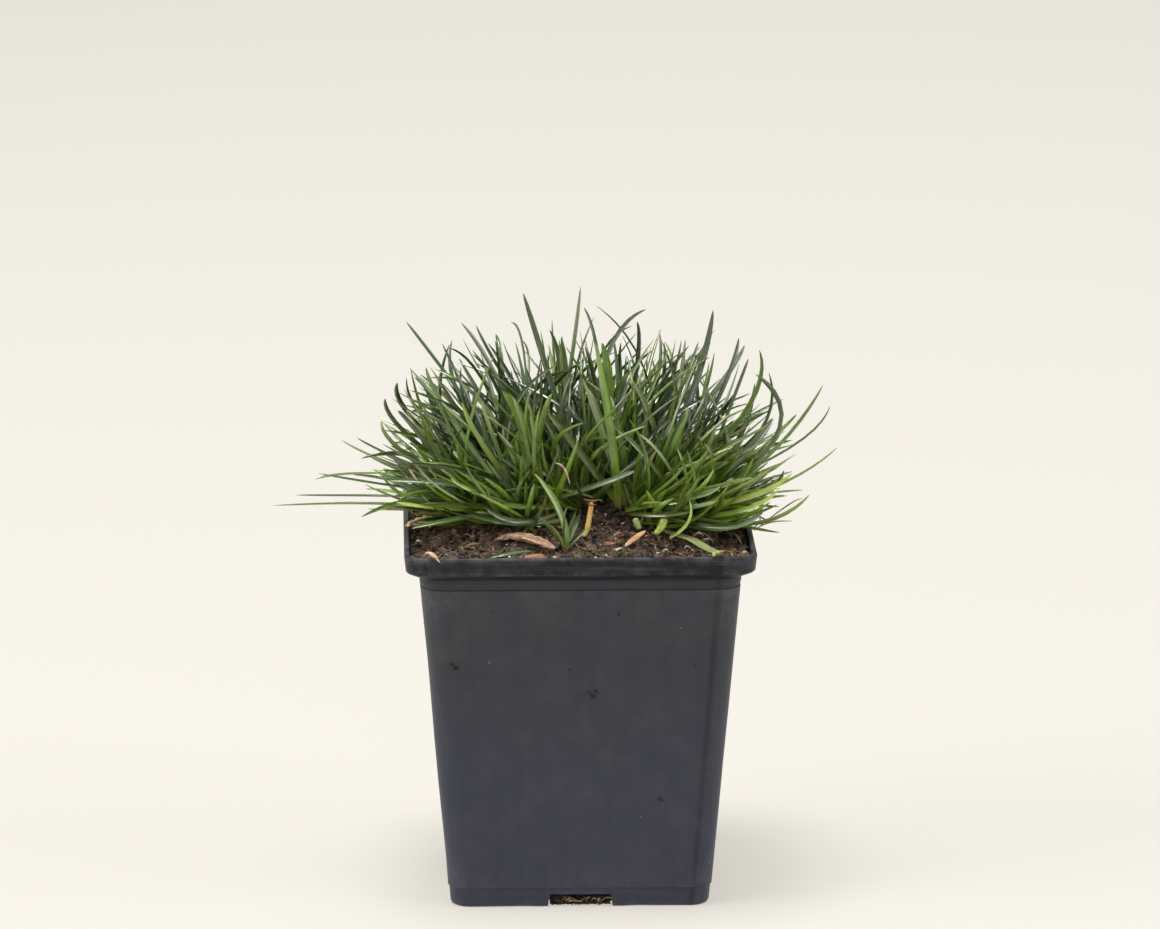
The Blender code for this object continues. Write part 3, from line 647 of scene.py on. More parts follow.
@dataclass(frozen=True)
class LeafFinish:
    """Living leaf: its own green, fine lines along it, painted highlight streaks, a paler base, a browner tip
    and a soft gloss.
    """

    name: str
    base: Colour = screen(150, 156, 78)
    tip: Colour = screen(116, 98, 66)
    # A whitish colour in streaks along the leaf: painted highlights.
    painted_highlight: Colour = screen(172, 184, 138)
    painted_highlight_share: float = 0.22
    base_end: float = 0.2
    roughness: float = 0.3
    shine: float = 0.9
    shine_roughness: float = 0.13
    line_relief: float = 0.03 * MM
    variety: float = 37.0
    soft: float = 0.1
    soft_reach: float = 0.6 * MM
    soft_radius: tuple[float, float, float] = (0.5, 1.0, 0.2)

    def material(self) -> Material:
        """Builds the material.

        Returns:
            The material.
        """
        material, wiring, shader = new_material(self.name)
        along = wiring.value("along")
        across = wiring.value("across")
        spot = wiring.spot(across, along, wiring.math("MULTIPLY", wiring.value("seed"), self.variety))
        lines, fine_lines = grained(wiring, spot, 2.6, (1.6, 1.1, 1.0))
        clouds, fine_clouds = grained(wiring, spot, 2.0, (0.5, 3.0, 1.0))
        colour = lit(wiring, wiring.tint(), clouds, 0.3, 0.7, 0.78, 1.22)
        colour = lit(wiring, colour, fine_lines, 0.3, 0.7, 0.86, 1.14)
        colour = lit(wiring, colour, wiring.math("ABSOLUTE", across), 0.0, 0.22, 1.22, 1.0)
        # Whitish streaks along the leaf: painted highlights.
        streak = wiring.step(lines, 0.56, 0.7, 0.0, self.painted_highlight_share)
        colour = wiring.mix(streak, colour, self.painted_highlight)
        pale = wiring.step(along, 0.0, self.base_end, 0.62, 0.0)
        colour = wiring.mix(pale, colour, self.base)
        dry = wiring.math("MULTIPLY", wiring.value("brown"), wiring.step(along, 0.8, 0.97))
        colour = wiring.mix(dry, colour, self.tip)
        rough = wiring.step(fine_clouds, 0.25, 0.75, self.roughness - 0.06, self.roughness + 0.1)
        normal = wiring.bump(fine_lines, self.line_relief)
        wiring.give(shader, Base_Color=colour, Roughness=rough, Normal=normal)
        wiring.give(shader, Coat_Weight=self.shine, Coat_Roughness=self.shine_roughness)
        wiring.give(shader, Subsurface_Weight=self.soft, Subsurface_Scale=self.soft_reach)
        shader.inputs["Subsurface Radius"].default_value = self.soft_radius
        return material


@dataclass(frozen=True)
class DryFinish:
    """Dry plant matter: pale and dark fibres along it, matt, a little dirty."""

    name: str
    light: Colour
    dark: Colour
    fibre_stretch: tuple[float, float, float] = (2.2, 0.5, 1.0)
    roughness: float = 0.75
    relief: float = 0.12 * MM
    soiled: Colour = screen(60, 46, 34)
    dirt: float = 0.5
    wear: float = 0.4
    variety: float = 23.0

    def material(self) -> Material:
        """Builds the material.

        Returns:
            The material.
        """
        material, wiring, shader = new_material(self.name)
        along = wiring.math("MULTIPLY", wiring.value("along"), 3.0)
        depth = wiring.math("MULTIPLY", wiring.value("seed"), self.variety)
        spot = wiring.spot(wiring.value("across"), along, depth)
        fibres, fine_fibres = grained(wiring, spot, 2.4, self.fibre_stretch)
        place = wiring.place()
        share = wiring.step(fibres, 0.3, 0.68)
        colour = lit(wiring, wiring.mix(share, self.dark, self.light), fine_fibres, 0.3, 0.7, 0.75, 1.2)
        colour = wiring.times(colour, wiring.tint())
        dusty = wiring.group(
            EFFECTS.dust, Place=place, Scale=420.0, Amount=self.dirt, Colour=colour, Dust=self.soiled,
        )
        wear = wiring.group(EFFECTS.edge_wear, Place=place, Scale=900.0, Amount=self.wear)
        colour = wiring.mix(wear.outputs["Mask"], dusty.outputs["Colour"], self.light)
        rough = wiring.step(share, 0.0, 1.0, self.roughness + 0.1, self.roughness)
        normal = wiring.bump(fine_fibres, self.relief)
        wiring.give(shader, Base_Color=colour, Roughness=rough, Normal=normal)
        return material


class ScreenColour(Enum):
    """A named colour, given as a screen colour."""

    @property
    def colour(self) -> Colour:
        """The linear colour."""
        return screen(*self.value)


class Tone(ScreenColour):
    """The greens of the leaves."""

    DEEP = (54, 73, 22)
    SLATE = (57, 67, 40)
    BLUISH = (57, 75, 35)
    GREY = (86, 101, 68)
    FRESH = (90, 117, 28)
    OLIVE = (93, 105, 36)
    LIGHT = (107, 133, 48)
    YELLOW = (146, 164, 66)
    # A pale whitish green for leaves that catch a highlight: painted highlight.
    PALE = (140, 157, 102)


class DryTone(ScreenColour):
    """The colours of dry threads."""

    PINK = (206, 172, 154)
    RUST = (134, 84, 52)
    WHITISH = (186, 174, 150)
    WIRY = (112, 112, 92)
    CUT_GREEN = (150, 166, 92)


# Pot


def rounded_square(half: float, radius: float, z: float, corner_steps: int, side_steps: int) -> list[Vector]:
    """Points round a square with round corners at height z, anticlockwise seen from above.

    Args:
        half: half its width.
        radius: the corners' radius.
        z: its height.
        corner_steps: how many steps a corner has.
        side_steps: how many points a side has between its corners.

    Returns:
        The points.
    """
    points = []
    inner = half - radius
    for quarter in range(4):
        turn = Matrix.Rotation(quarter * math.pi / 2, 3, "Z")
        for step in range(corner_steps + 1):
            angle = math.pi / 2 * step / corner_steps
            out = (inner + radius * math.cos(angle), inner + radius * math.sin(angle), z)
            points.append(turn @ Vector(out))
        for step in range(side_steps):
            across = inner * (1 - 2 * (step + 1) / (side_steps + 1))
            points.append(turn @ Vector((across, half, z)))
    return points


def box_mesh(bm: Solid, low: Vector, high: Vector, turn: Matrix) -> None:
    """Adds a box between two corners, turned about the origin."""
    place = Matrix.Translation((low + high) / 2) @ Matrix.Diagonal((*(high - low), 1.0))
    bmesh.ops.create_cube(bm, size=1.0, matrix=turn @ place)


def side_turns() -> list[Matrix]:
    """A turn about Z for each of the four sides, the front first."""
    return [Matrix.Rotation(quarter * math.pi / 2, 4, "Z") for quarter in range(4)]


def carve(target: Thing, guide: Solid, operation: str) -> None:
    """Joins a guide shape to an object's mesh, or cuts it away, for good.

    Args:
        target: the object.
        guide: the shape, which is used up.
        operation: UNION or DIFFERENCE.
    """
    bmesh.ops.recalc_face_normals(guide, faces=guide.faces)
    mesh = bpy.data.meshes.new("guide")
    guide.to_mesh(mesh)
    guide.free()
    cutter = linked("guide", mesh)
    modifier = target.modifiers.new("carve", "BOOLEAN")
    modifier.operation = operation
    modifier.solver = "EXACT"
    modifier.object = cutter
    depsgraph = bpy.context.evaluated_depsgraph_get()
    carved = bpy.data.meshes.new_from_object(target.evaluated_get(depsgraph))
    target.modifiers.clear()
    target.data = carved
    bpy.data.objects.remove(cutter, do_unlink=True)
    bpy.data.meshes.remove(mesh)


FRONT_SPECKS = (
    (-33.0, 65.6, 1.5), (-31.8, 65.0, 0.7), (2.0, 58.4, 1.0), (3.9, 58.7, 0.9), (2.9, 57.3, 1.1),
    (20.6, 29.4, 1.3), (20.3, 30.6, 0.6), (-3.0, 64.5, 0.5), (9.6, 79.3, 0.6),
)


@dataclass
class NurseryPot:
    """The square moulded pot: a thin tapering wall with a rim, a floor, notches and drain holes."""

    height: float = 95.0 * MM
    wall: float = 0.9 * MM
    floor: float = 1.0 * MM
    rim_half: float = 45.0 * MM
    rim_corner: float = 6.8 * MM
    rim_band: float = 4.9 * MM
    rim_wall: float = 1.4 * MM
    shoulder_half: float = 41.2 * MM
    shoulder_corner: float = 6.4 * MM
    shoulder_rise: float = 1.7 * MM
    foot_half: float = 33.3 * MM
    foot_corner: float = 5.2 * MM
    foot_edge: float = 0.9 * MM
    step_z: float = 5.0 * MM
    step_out: float = 0.3 * MM
    groove_z: float = 85.6 * MM
    groove_height: float = 1.2 * MM
    groove_depth: float = 0.3 * MM
    notch_width: float = 17.0 * MM
    notch_top_width: float = 15.8 * MM
    notch_height: float = 3.5 * MM
    notch_depth: float = 9.0 * MM
    slot_width: float = 11.0 * MM
    slot_depth: float = 4.0 * MM
    hole_radius: float = 3.5 * MM
    hole_place: float = 20.0 * MM
    corner_steps: int = 12
    side_steps: int = 12
    body_rings: int = 12
    bow: float = 0.3 * MM
    bow_size: float = 26.0 * MM
    bow_rise: tuple[float, float] = (1.0 * MM, 12.0 * MM)
    lip_wear: float = 0.25 * MM
    lip_wear_size: float = 14.0 * MM
    foot_wear: float = 0.45 * MM
    foot_wear_size: float = 4.0 * MM
    rim_edge: float = 0.4 * MM
    inner_edge: float = 0.3 * MM
    overcut: float = 2.0 * MM
    speck_sink: float = 0.1 * MM
    plug_lumps: int = 170
    plug_threads: int = 12
    speck_count: int = 48

    def half(self, z: float) -> float:
        """Half width of the body outside at height z."""
        shoulder_z = self.height - self.rim_band - self.shoulder_rise
        return self.foot_half + (self.shoulder_half - self.foot_half) * z / shoulder_z

    def corner(self, z: float) -> float:
        """Radius of the corners outside at height z."""
        return self.foot_corner + (self.shoulder_corner - self.foot_corner) * z / self.height

    def outside(self) -> list[tuple[float, float, float]]:
        """Half width, corner radius and height of the outside, from the foot to the rim's top.

        Returns:
            One row for each ring.
        """
        edge = self.foot_edge
        stations = [
            (self.foot_half - 2.2 * edge, self.foot_corner - 2.2 * edge, 0.0),
            (self.foot_half - edge, self.foot_corner - edge, 0.0),
            (self.foot_half - 0.3 * edge, self.foot_corner - 0.3 * edge, 0.3 * edge),
            (self.half(edge), self.foot_corner, edge),
            (self.half(self.step_z), self.corner(self.step_z), self.step_z),
        ]
        low = self.step_z + self.step_out
        for ring in range(self.body_rings + 1):
            z = low + (self.groove_z - low) * ring / self.body_rings
            out = self.step_out * (1 - ring / self.body_rings)
            stations.append((self.half(z) + out, self.corner(z) + out, z))
        top = self.groove_z + self.groove_height
        depth = self.groove_depth
        stations += [
            (self.half(self.groove_z) - depth, self.corner(self.groove_z), self.groove_z + depth),
            (self.half(top) - depth, self.corner(top), top - depth),
            (self.half(top), self.corner(top), top),
        ]
        band_z = self.height - self.rim_band
        stations.append((self.shoulder_half, self.shoulder_corner, band_z - self.shoulder_rise))
        lip = self.rim_edge
        return stations + [
            (self.rim_half - 2 * lip, self.rim_corner - lip, band_z),
            (self.rim_half - lip, self.rim_corner, band_z + lip),
            (self.rim_half - lip / 2, self.rim_corner, band_z + self.rim_band / 2),
            (self.rim_half, self.rim_corner, self.height - 2 * lip),
            (self.rim_half - lip / 2, self.rim_corner, self.height - lip / 2),
            (self.rim_half - lip, self.rim_corner - lip, self.height),
        ]

    def inside(self) -> list[tuple[float, float, float]]:
        """Half width, corner radius and height of the inside, from the rim's top to the floor.

        Returns:
            One row for each ring.
        """
        half = self.rim_half - self.rim_wall
        corner = self.rim_corner - self.rim_wall
        lip = self.inner_edge
        ledge_z = self.height - self.rim_band + self.wall
        return [
            (half + lip, corner + lip, self.height),
            (half, corner, self.height - lip),
            (half, corner, ledge_z),
            (self.shoulder_half - self.wall, self.shoulder_corner - self.wall, ledge_z - self.shoulder_rise),
            (self.foot_half - self.wall, self.foot_corner - self.wall, self.floor),
        ]

    def worn(self, point: Vector) -> Vector:
        """Moves a point a little, as thin plastic bows inwards and its foot and lip wear unevenly.

        Args:
            point: a point of the new pot.

        Returns:
            The point of the worn one.
        """
        reach = max(abs(point.x), abs(point.y))
        inwards = self.bow * max(0.0, noise.noise(point / self.bow_size)) * ramp(point.z, *self.bow_rise)
        x, y = point.xy * (1 - inwards / reach)
        z = point.z
        if z > self.height - self.rim_wall:
            z -= self.lip_wear * max(0.0, noise.noise(point / self.lip_wear_size))
        if z < self.foot_edge and reach > self.foot_half - 1.5 * self.foot_edge:
            z += self.foot_wear * max(0.0, noise.noise(point / self.foot_wear_size))
        return Vector((x, y, z))

    def housings(self, allowance: float) -> Solid:
        """The boxes over the four notches, made larger all round by an allowance.

        Args:
            allowance: how much larger they are on each side.

        Returns:
            The boxes.
        """
        bm = bmesh.new()
        half = self.notch_width / 2 + self.wall + allowance
        depth = self.notch_depth + self.wall + allowance
        low = Vector((-half, -self.foot_half + self.wall / 2, self.floor / 2 - allowance))
        high = Vector((half, -self.foot_half + depth, self.notch_height + self.wall + allowance))
        for turn in side_turns():
            box_mesh(bm, low, high, turn)
        return bm

    def notches(self) -> Solid:
        """The four notches under the sides, a little narrower at the top.

        Returns:
            Their shapes.
        """
        bm = bmesh.new()
        for turn in side_turns():
            rings = []
            for y in (-self.foot_half - self.overcut, -self.foot_half + self.notch_depth):
                corners = (
                    Vector((-self.notch_width / 2, y, -MM)),
                    Vector((self.notch_width / 2, y, -MM)),
                    Vector((self.notch_top_width / 2, y, self.notch_height)),
                    Vector((-self.notch_top_width / 2, y, self.notch_height)),
                )
                rings.append([bm.verts.new(turn @ corner) for corner in corners])
            near, far = rings
            for index in range(4):
                following = (index + 1) % 4
                bm.faces.new((near[index], near[following], far[following], far[index]))
            bm.faces.new(near)
            bm.faces.new(reversed(far))
        return bm

    def drains(self) -> Solid:
        """The slots in the notches' roofs and the round holes in the floor.

        Returns:
            Their shapes.
        """
        bm = bmesh.new()
        slot_y = -self.foot_half + self.notch_depth / 2
        low = Vector((-self.slot_width / 2, slot_y - self.slot_depth / 2, self.notch_height - MM))
        high = Vector((self.slot_width / 2, slot_y + self.slot_depth / 2, self.notch_height + self.overcut))
        for turn in side_turns():
            box_mesh(bm, low, high, turn)
            place = turn @ Matrix.Translation((self.hole_place, self.hole_place, self.floor / 2))
            bmesh.ops.create_cone(
                bm, cap_ends=True, segments=32, radius1=self.hole_radius, radius2=self.hole_radius,
                depth=4 * self.floor, matrix=place,
            )
        return bm

    def build_roots(self) -> None:
        """Builds the dark plug of soil and root threads that fills each notch under the sides."""
        dice = random.Random(31)
        skin = Skin()
        for turn in side_turns():
            for _ in range(self.plug_lumps):
                x = dice.uniform(-0.47, 0.47) * self.notch_top_width
                z = dice.uniform(0.5, 0.84) * self.notch_height
                y = -self.foot_half + (1.2 + 2.4 * dice.random()) * MM
                tint = shaded(screen(40, 32, 24), dice.uniform(0.6, 1.3))
                add_lump(skin, turn @ Vector((x, y, z * 0.92)), dice.uniform(0.9, 1.7) * MM, tint, dice)
                low = Vector((x, y, dice.uniform(0.3, 0.5) * self.notch_height))
                add_lump(skin, turn @ low, dice.uniform(1.0, 1.6) * MM, tint, dice)
                foot = Vector((x, y, 0.62 * MM))
                add_lump(skin, turn @ foot, dice.uniform(0.8, 1.1) * MM, tint, dice)
            for _ in range(self.plug_threads):
                x = dice.uniform(-0.4, 0.4) * self.notch_top_width
                y = -self.foot_half + dice.uniform(0.5, 1.4) * MM
                lean = dice.uniform(-1, 1) * 4 * MM
                heights = (0.34, dice.uniform(0.4, 0.7), dice.uniform(0.4, 0.9))
                spots = [
                    turn @ Vector((x + lean * step / 2, y - 0.3 * MM * step, height * self.notch_height))
                    for step, height in enumerate(heights)
                ]
                tan = blended(screen(168, 140, 92), screen(104, 82, 54), dice.random())
                add_thread(skin, spots, dice.uniform(0.12, 0.22) * MM, tan, dice.random())
        skin.points = [(x, y, max(z, 0.05 * MM)) for x, y, z in skin.points]
        dress(skin.piece("notch_roots", SoilFinish("root_soil").material(), angle=50))

    def build_specks(self, soil_colour: Colour) -> None:
        """Builds the specks of soil that stick to the outside, some where the photograph's pot has them.

        Args:
            soil_colour: the colour of dark soil.
        """
        dice = random.Random(41)
        skin = Skin()
        spots = [(across, z, 0, size) for across, z, size in FRONT_SPECKS]
        for _ in range(self.speck_count):
            side = dice.randrange(4)
            across, z = dice.uniform(-30, 30), 2 + 84 * dice.random() ** 0.8
            spots.append((across, z, side, dice.uniform(0.2, 0.55)))
        turns = side_turns()
        for across, z, side, size in spots:
            half = self.half(z * MM)
            place = Vector((across * MM, -half - self.speck_sink, z * MM))
            tint = shaded(soil_colour, dice.uniform(0.4, 1.2))
            add_lump(skin, turns[side] @ place, size * MM, tint, dice, fine=size > 0.6, flatness=0.9)
        dress(skin.piece("pot_specks", SoilFinish("speck").material(), angle=50))

    def build(self) -> None:
        """Builds the pot and dresses it."""
        skin = Skin()
        rings = []
        for station in self.outside() + self.inside():
            ring = rounded_square(*station, self.corner_steps, self.side_steps)
            rings.append(skin.add([self.worn(point) for point in ring]))
        skin.tube(rings)
        pot = skin.piece("nursery_pot", PotPlastic().material())
        carve(pot, self.housings(0.0), "UNION")
        carve(pot, self.notches(), "DIFFERENCE")
        carve(pot, self.drains(), "DIFFERENCE")
        pot.data.shade_smooth()
        pot.data.set_sharp_from_angle(angle=math.radians(35))
        dress(pot, ["pot"])


# Soil


@dataclass
class Soil:
    """The potting soil: low along the wall, heaped under the plant, with a bank of crumbs in front."""

    pot: NurseryPot
    gap: float = 0.4 * MM
    edge: float = 92.3 * MM
    heap: float = 5.0 * MM
    heap_reach: float = 42.0 * MM
    lump: float = 1.1 * MM
    lump_size: float = 7.0 * MM
    bank_place: Vector = field(default_factory=lambda: Vector((8.0, -17.0)) * MM)
    bank_height: float = 5.6 * MM
    bank_reach: float = 5.5 * MM
    clod_size: float = 2.2 * MM
    relief: float = 0.9 * MM
    notch_gap: float = 0.3 * MM
    grid: int = 170
    crumb_count: int = 6600
    fibre_count: int = 1100
    brown: Colour = screen(64, 48, 34)
    dark: Colour = screen(34, 26, 20)

    def level(self, x: float, y: float) -> float:
        """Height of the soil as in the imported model.

        Args:
            x: the place from left to right.
            y: the place from front to back.

        Returns:
            The height.
        """
        reach = math.hypot(x, y) / self.heap_reach
        heap = self.heap * max(0.0, 1.0 - reach ** 4)
        away = (Vector((x, y)) - self.bank_place).length / self.bank_reach
        bank = self.bank_height * math.exp(-away * away / 2)
        lumps = self.lump * noise.noise(Vector((x, y, 0.0)) / self.lump_size)
        return self.edge + heap + bank + lumps

    def surface(self, x: float, y: float) -> float:
        """Height of the soil with its clods.

        Args:
            x: the place from left to right.
            y: the place from front to back.

        Returns:
            The height.
        """
        spot = Vector((x, y, 0.0))
        clods = noise.fractal(spot / self.clod_size, 1.0, 2.0, 3)
        return self.level(x, y) + self.relief * clods

    @property
    def top_half(self) -> float:
        """Half width of the soil's top."""
        return self.pot.rim_half - self.pot.rim_wall - self.gap

    def outline(self, x: float, y: float, half: float, radius: float) -> Vector:
        """Where the line from the middle through x, y meets a square with round corners.

        Args:
            x: the point's place from left to right.
            y: its place from front to back.
            half: the square's half width.
            radius: its corners' radius.

        Returns:
            The meeting point.
        """
        along = Vector((x, y)) / max(abs(x), abs(y))
        inner = half - radius
        corner = Vector((math.copysign(inner, x), math.copysign(inner, y)))
        flat = along * half
        if min(abs(flat.x), abs(flat.y)) <= inner:
            return flat
        unit = along.normalized()
        ahead = unit.dot(corner)
        return unit * (ahead + math.sqrt(ahead ** 2 - corner.length_squared + radius ** 2))

    def build_bed(self) -> None:
        """Builds the block: a fine lumpy top, walls a gap inside the pot, and hollows over the notches."""
        pot = self.pot
        skin = Skin()
        corner = pot.rim_corner - pot.rim_wall
        steps = [index / self.grid * 2 - 1 for index in range(self.grid + 1)]
        rows = []
        for v in steps:
            row = []
            for u in steps:
                size = max(abs(u), abs(v))
                spot = self.outline(u, v, self.top_half, corner) * size if size > 0 else Vector((0.0, 0.0))
                row.append((spot.x, spot.y, self.surface(spot.x, spot.y)))
            rows.append(skin.add(row, self.brown))
        for lower, upper in zip(rows, rows[1:]):
            for index in range(self.grid):
                skin.faces.append((lower[index], lower[index + 1], upper[index + 1], upper[index]))
        border = [(u, -1.0) for u in steps[:-1]] + [(1.0, v) for v in steps[:-1]]
        border += [(-u, 1.0) for u in steps[:-1]] + [(-1.0, -v) for v in steps[:-1]]
        last = self.grid
        ring = [rows[0][i] for i in range(last)] + [rows[i][last] for i in range(last)]
        ring += [rows[last][last - i] for i in range(last)] + [rows[last - i][0] for i in range(last)]
        ledge_z = pot.height - pot.rim_band + pot.wall
        walls = (
            (self.top_half, corner, ledge_z + self.gap),
            (pot.shoulder_half - pot.wall - self.gap, pot.shoulder_corner - pot.wall,
             ledge_z - pot.shoulder_rise + self.gap),
            (pot.foot_half - pot.wall - self.gap, pot.foot_corner - pot.wall, pot.floor + self.gap),
        )
        for half, radius, z in walls:
            places = [self.outline(u, v, half, radius) for u, v in border]
            lower = skin.add([(p.x, p.y, z) for p in places], self.dark)
            skin.band(ring, lower)
            ring = lower
        skin.faces.append(ring)
        bed = skin.piece("soil_bed", SoilFinish("soil").material(), angle=80)
        carve(bed, pot.housings(self.notch_gap), "DIFFERENCE")
        dress(bed, ["potting_soil"])

    def build_crumbs(self) -> None:
        """Builds the crumbs, bark bits, grit and pale grains that lie on the soil, with more on the bank."""
        dice = random.Random(11)
        kinds = (
            (0.47, self.brown, 1.0),
            (0.22, self.dark, 1.0),
            (0.12, screen(112, 90, 66), 0.9),
            (0.06, screen(108, 68, 50), 0.9),
            (0.08, screen(150, 136, 114), 0.7),
            (0.03, screen(104, 108, 56), 0.7),
            (0.02, screen(216, 208, 190), 0.6),
        )
        skin = Skin()
        for _ in range(self.crumb_count):
            within = self.top_half * 0.985
            if dice.random() < 0.22:
                x = self.bank_place.x + dice.gauss(0, 1) * 8 * MM
                y = max(-within, self.bank_place.y - 4 * MM + dice.gauss(0, 1) * 8 * MM)
            else:
                x = dice.uniform(-1, 1) * within
                y = dice.uniform(-1, 1) * within
            pick = dice.random()
            for share, colour, scale in kinds:
                pick -= share
                if pick < 0:
                    break
            size = (0.35 + 1.8 * dice.random() ** 3.6) * MM * scale
            place = Vector((x, y, self.surface(x, y) + size * dice.uniform(0.0, 0.35)))
            tint = shaded(colour, dice.uniform(0.55, 1.5))
            add_lump(skin, place, size, tint, dice, fine=size > 1.4 * MM)
        finish = SoilFinish("soil_crumb", pale_share=0.03)
        dress(skin.piece("soil_crumbs", finish.material(), angle=50))

    def build_fibres(self) -> None:
        """Builds the pale threads of peat and root that lie on the soil."""
        dice = random.Random(23)
        skin = Skin()
        for _ in range(self.fibre_count):
            x = dice.uniform(-1, 1) * (self.top_half - 3 * MM)
            y = dice.uniform(-1, 1) * (self.top_half - 3 * MM)
            length = (1.2 + 5.5 * dice.random() ** 2.4) * MM
            turn = dice.uniform(0, 2 * math.pi)
            bend = dice.uniform(-0.5, 0.5)
            spots = []
            for _ in range(4):
                turn += bend * dice.uniform(0.4, 1.2)
                x += math.cos(turn) * length / 3
                y += math.sin(turn) * length / 3
                x = min(self.top_half - MM, max(MM - self.top_half, x))
                y = min(self.top_half - MM, max(MM - self.top_half, y))
                spots.append(Vector((x, y, self.surface(x, y) + dice.uniform(0.15, 0.9) * MM)))
            tan = blended(screen(196, 170, 128), screen(104, 74, 50), dice.random() ** 0.7)
            add_thread(skin, spots, dice.uniform(0.06, 0.16) * MM, tan, dice.random())
        finish = DryFinish("fibre", screen(200, 178, 140), screen(140, 110, 78), dirt=0.2)
        dress(skin.piece("soil_fibres", finish.material()))


def icosahedron(subdivisions: int) -> tuple[np.ndarray, np.ndarray]:
    """The points and faces of a ball of radius 1 made of triangles.

    Args:
        subdivisions: 1 for the coarsest.

    Returns:
        The points, and the faces as their numbers.
    """
    bm = bmesh.new()
    bmesh.ops.create_icosphere(bm, subdivisions=subdivisions, radius=1.0)
    points = np.array([vertex.co for vertex in bm.verts])
    faces = np.array([[vertex.index for vertex in face.verts] for face in bm.faces])
    bm.free()
    return points, faces


COARSE_BALL = icosahedron(1)
FINE_BALL = icosahedron(2)


def add_lump(
    skin: Skin, place: Vector, size: float, tint: Colour, dice: random.Random, fine: bool = False,
    flatness: float = 0.75,
) -> None:
    """Adds a small rough lump.

    Args:
        skin: what it is added to.
        place: its middle.
        size: its mean diameter.
        tint: its colour.
        dice: where its chance form comes from.
        fine: whether it has more faces.
        flatness: its least height as a share of its size.
    """
    points, faces = FINE_BALL if fine else COARSE_BALL
    rough = np.array([0.5 * size * dice.uniform(0.55, 1.35) for _ in range(len(points))])
    limits = ((0.8, 1.7), (0.6, 1.1), (flatness * 0.6, flatness))
    stretch = np.array([dice.uniform(*limit) for limit in limits])
    turn = Quaternion((dice.gauss(0, 0.4), dice.gauss(0, 0.4), dice.gauss(0, 1)), dice.uniform(0, 6.3))
    shape = (points * rough[:, None] * stretch) @ np.array(turn.to_matrix()).T + np.array(place)
    skin.shape(shape, faces, tint, dice.random())


def add_thread(
    skin: Skin, spots: Sequence[Vector], radius: float, tint: Colour, seed: float, stations: int = 9,
    sides: int = 5,
) -> None:
    """Adds a round thread along a smooth curve, thinner at its ends.

    Args:
        skin: what it is added to.
        spots: what the curve passes through.
        radius: its greatest radius.
        tint: its colour.
        seed: the number that its finish varies by.
        stations: how many rings it has.
        sides: how many points a ring has.
    """
    rings = []
    for share, place, side, up in framed_path(spots, stations):
        size = radius * (0.35 + 0.65 * math.sin(math.pi * share))
        ring = []
        for step in range(sides):
            angle = 2 * math.pi * step / sides
            ring.append(place + (side * math.cos(angle) + up * math.sin(angle)) * size)
        rings.append(skin.add(ring, tint, along=share, seed=seed))
    skin.tube(rings)


# Tuft


@dataclass(frozen=True)
class CrownRow:
    """Where a rosette sits, how many leaves of its solid follow the rule, and its crown's radius, in mm."""

    name: str
    x: float
    y: float
    fused: int
    radius: float = 4.5


def read_row(line: str) -> tuple[str, tuple[Vector, ...], float, list[str]]:
    """Reads a row of a table, such as left_front|-52 -6 101|-79 -4 100|1.5 GREY.

    Args:
        line: the row: a name, points in mm, then a size in mm and marks.

    Returns:
        The name, the points, the size and the marks.
    """
    (name,), *spots, (size, *marks) = (part.split() for part in line.split("|"))
    points = tuple(mm(*map(float, spot)) for spot in spots)
    return name, points, float(size) * MM, marks


@dataclass(frozen=True)
class LeafRow:
    """A leaf with a place of its own: its crown, two or three points on it, its width and how it looks."""

    crown: str
    points: tuple[Vector, ...]
    width: float
    tone: Optional[Tone] = None
    fused: bool = False
    broad: float = 1.0
    dry: float = 0.1

    @classmethod
    def read(cls, line: str) -> "LeafRow":
        """Reads a leaf from its row, where its marks are a tone, fused, or a value such as broad=1.2.

        Args:
            line: the row.

        Returns:
            The leaf.
        """
        crown, points, width, marks = read_row(line)
        tone = next((Tone[mark] for mark in marks if mark in Tone.__members__), None)
        values = dict(mark.split("=") for mark in marks if "=" in mark)
        numbers = {name: float(value) for name, value in values.items()}
        return cls(crown, points, width, tone, "fused" in marks, **numbers)


def read_leaves(table: str) -> tuple[LeafRow, ...]:
    """The leaves of a table, in its order."""
    return tuple(LeafRow.read(line) for line in table.strip().splitlines())


CROWNS = (
    CrownRow("left_front", -26, -8, 6),
    CrownRow("left", -20, 6, 5),
    CrownRow("left_back", -12, 18, 6),
    CrownRow("front_left", -14, -16, 6),
    CrownRow("middle_left", -8, -3, 6),
    CrownRow("middle_front", 3, -10, 7),
    CrownRow("middle_right", 8, 5, 6),
    CrownRow("front_right", 16, -15, 7),
    CrownRow("right", 21, 3, 6),
    CrownRow("right_front", 28, -9, 6),
    CrownRow("back", 1, 20, 5),
    CrownRow("right_back", 15, 18, 6),
    CrownRow("sprig", -4, -35, 0, 2.4),
)

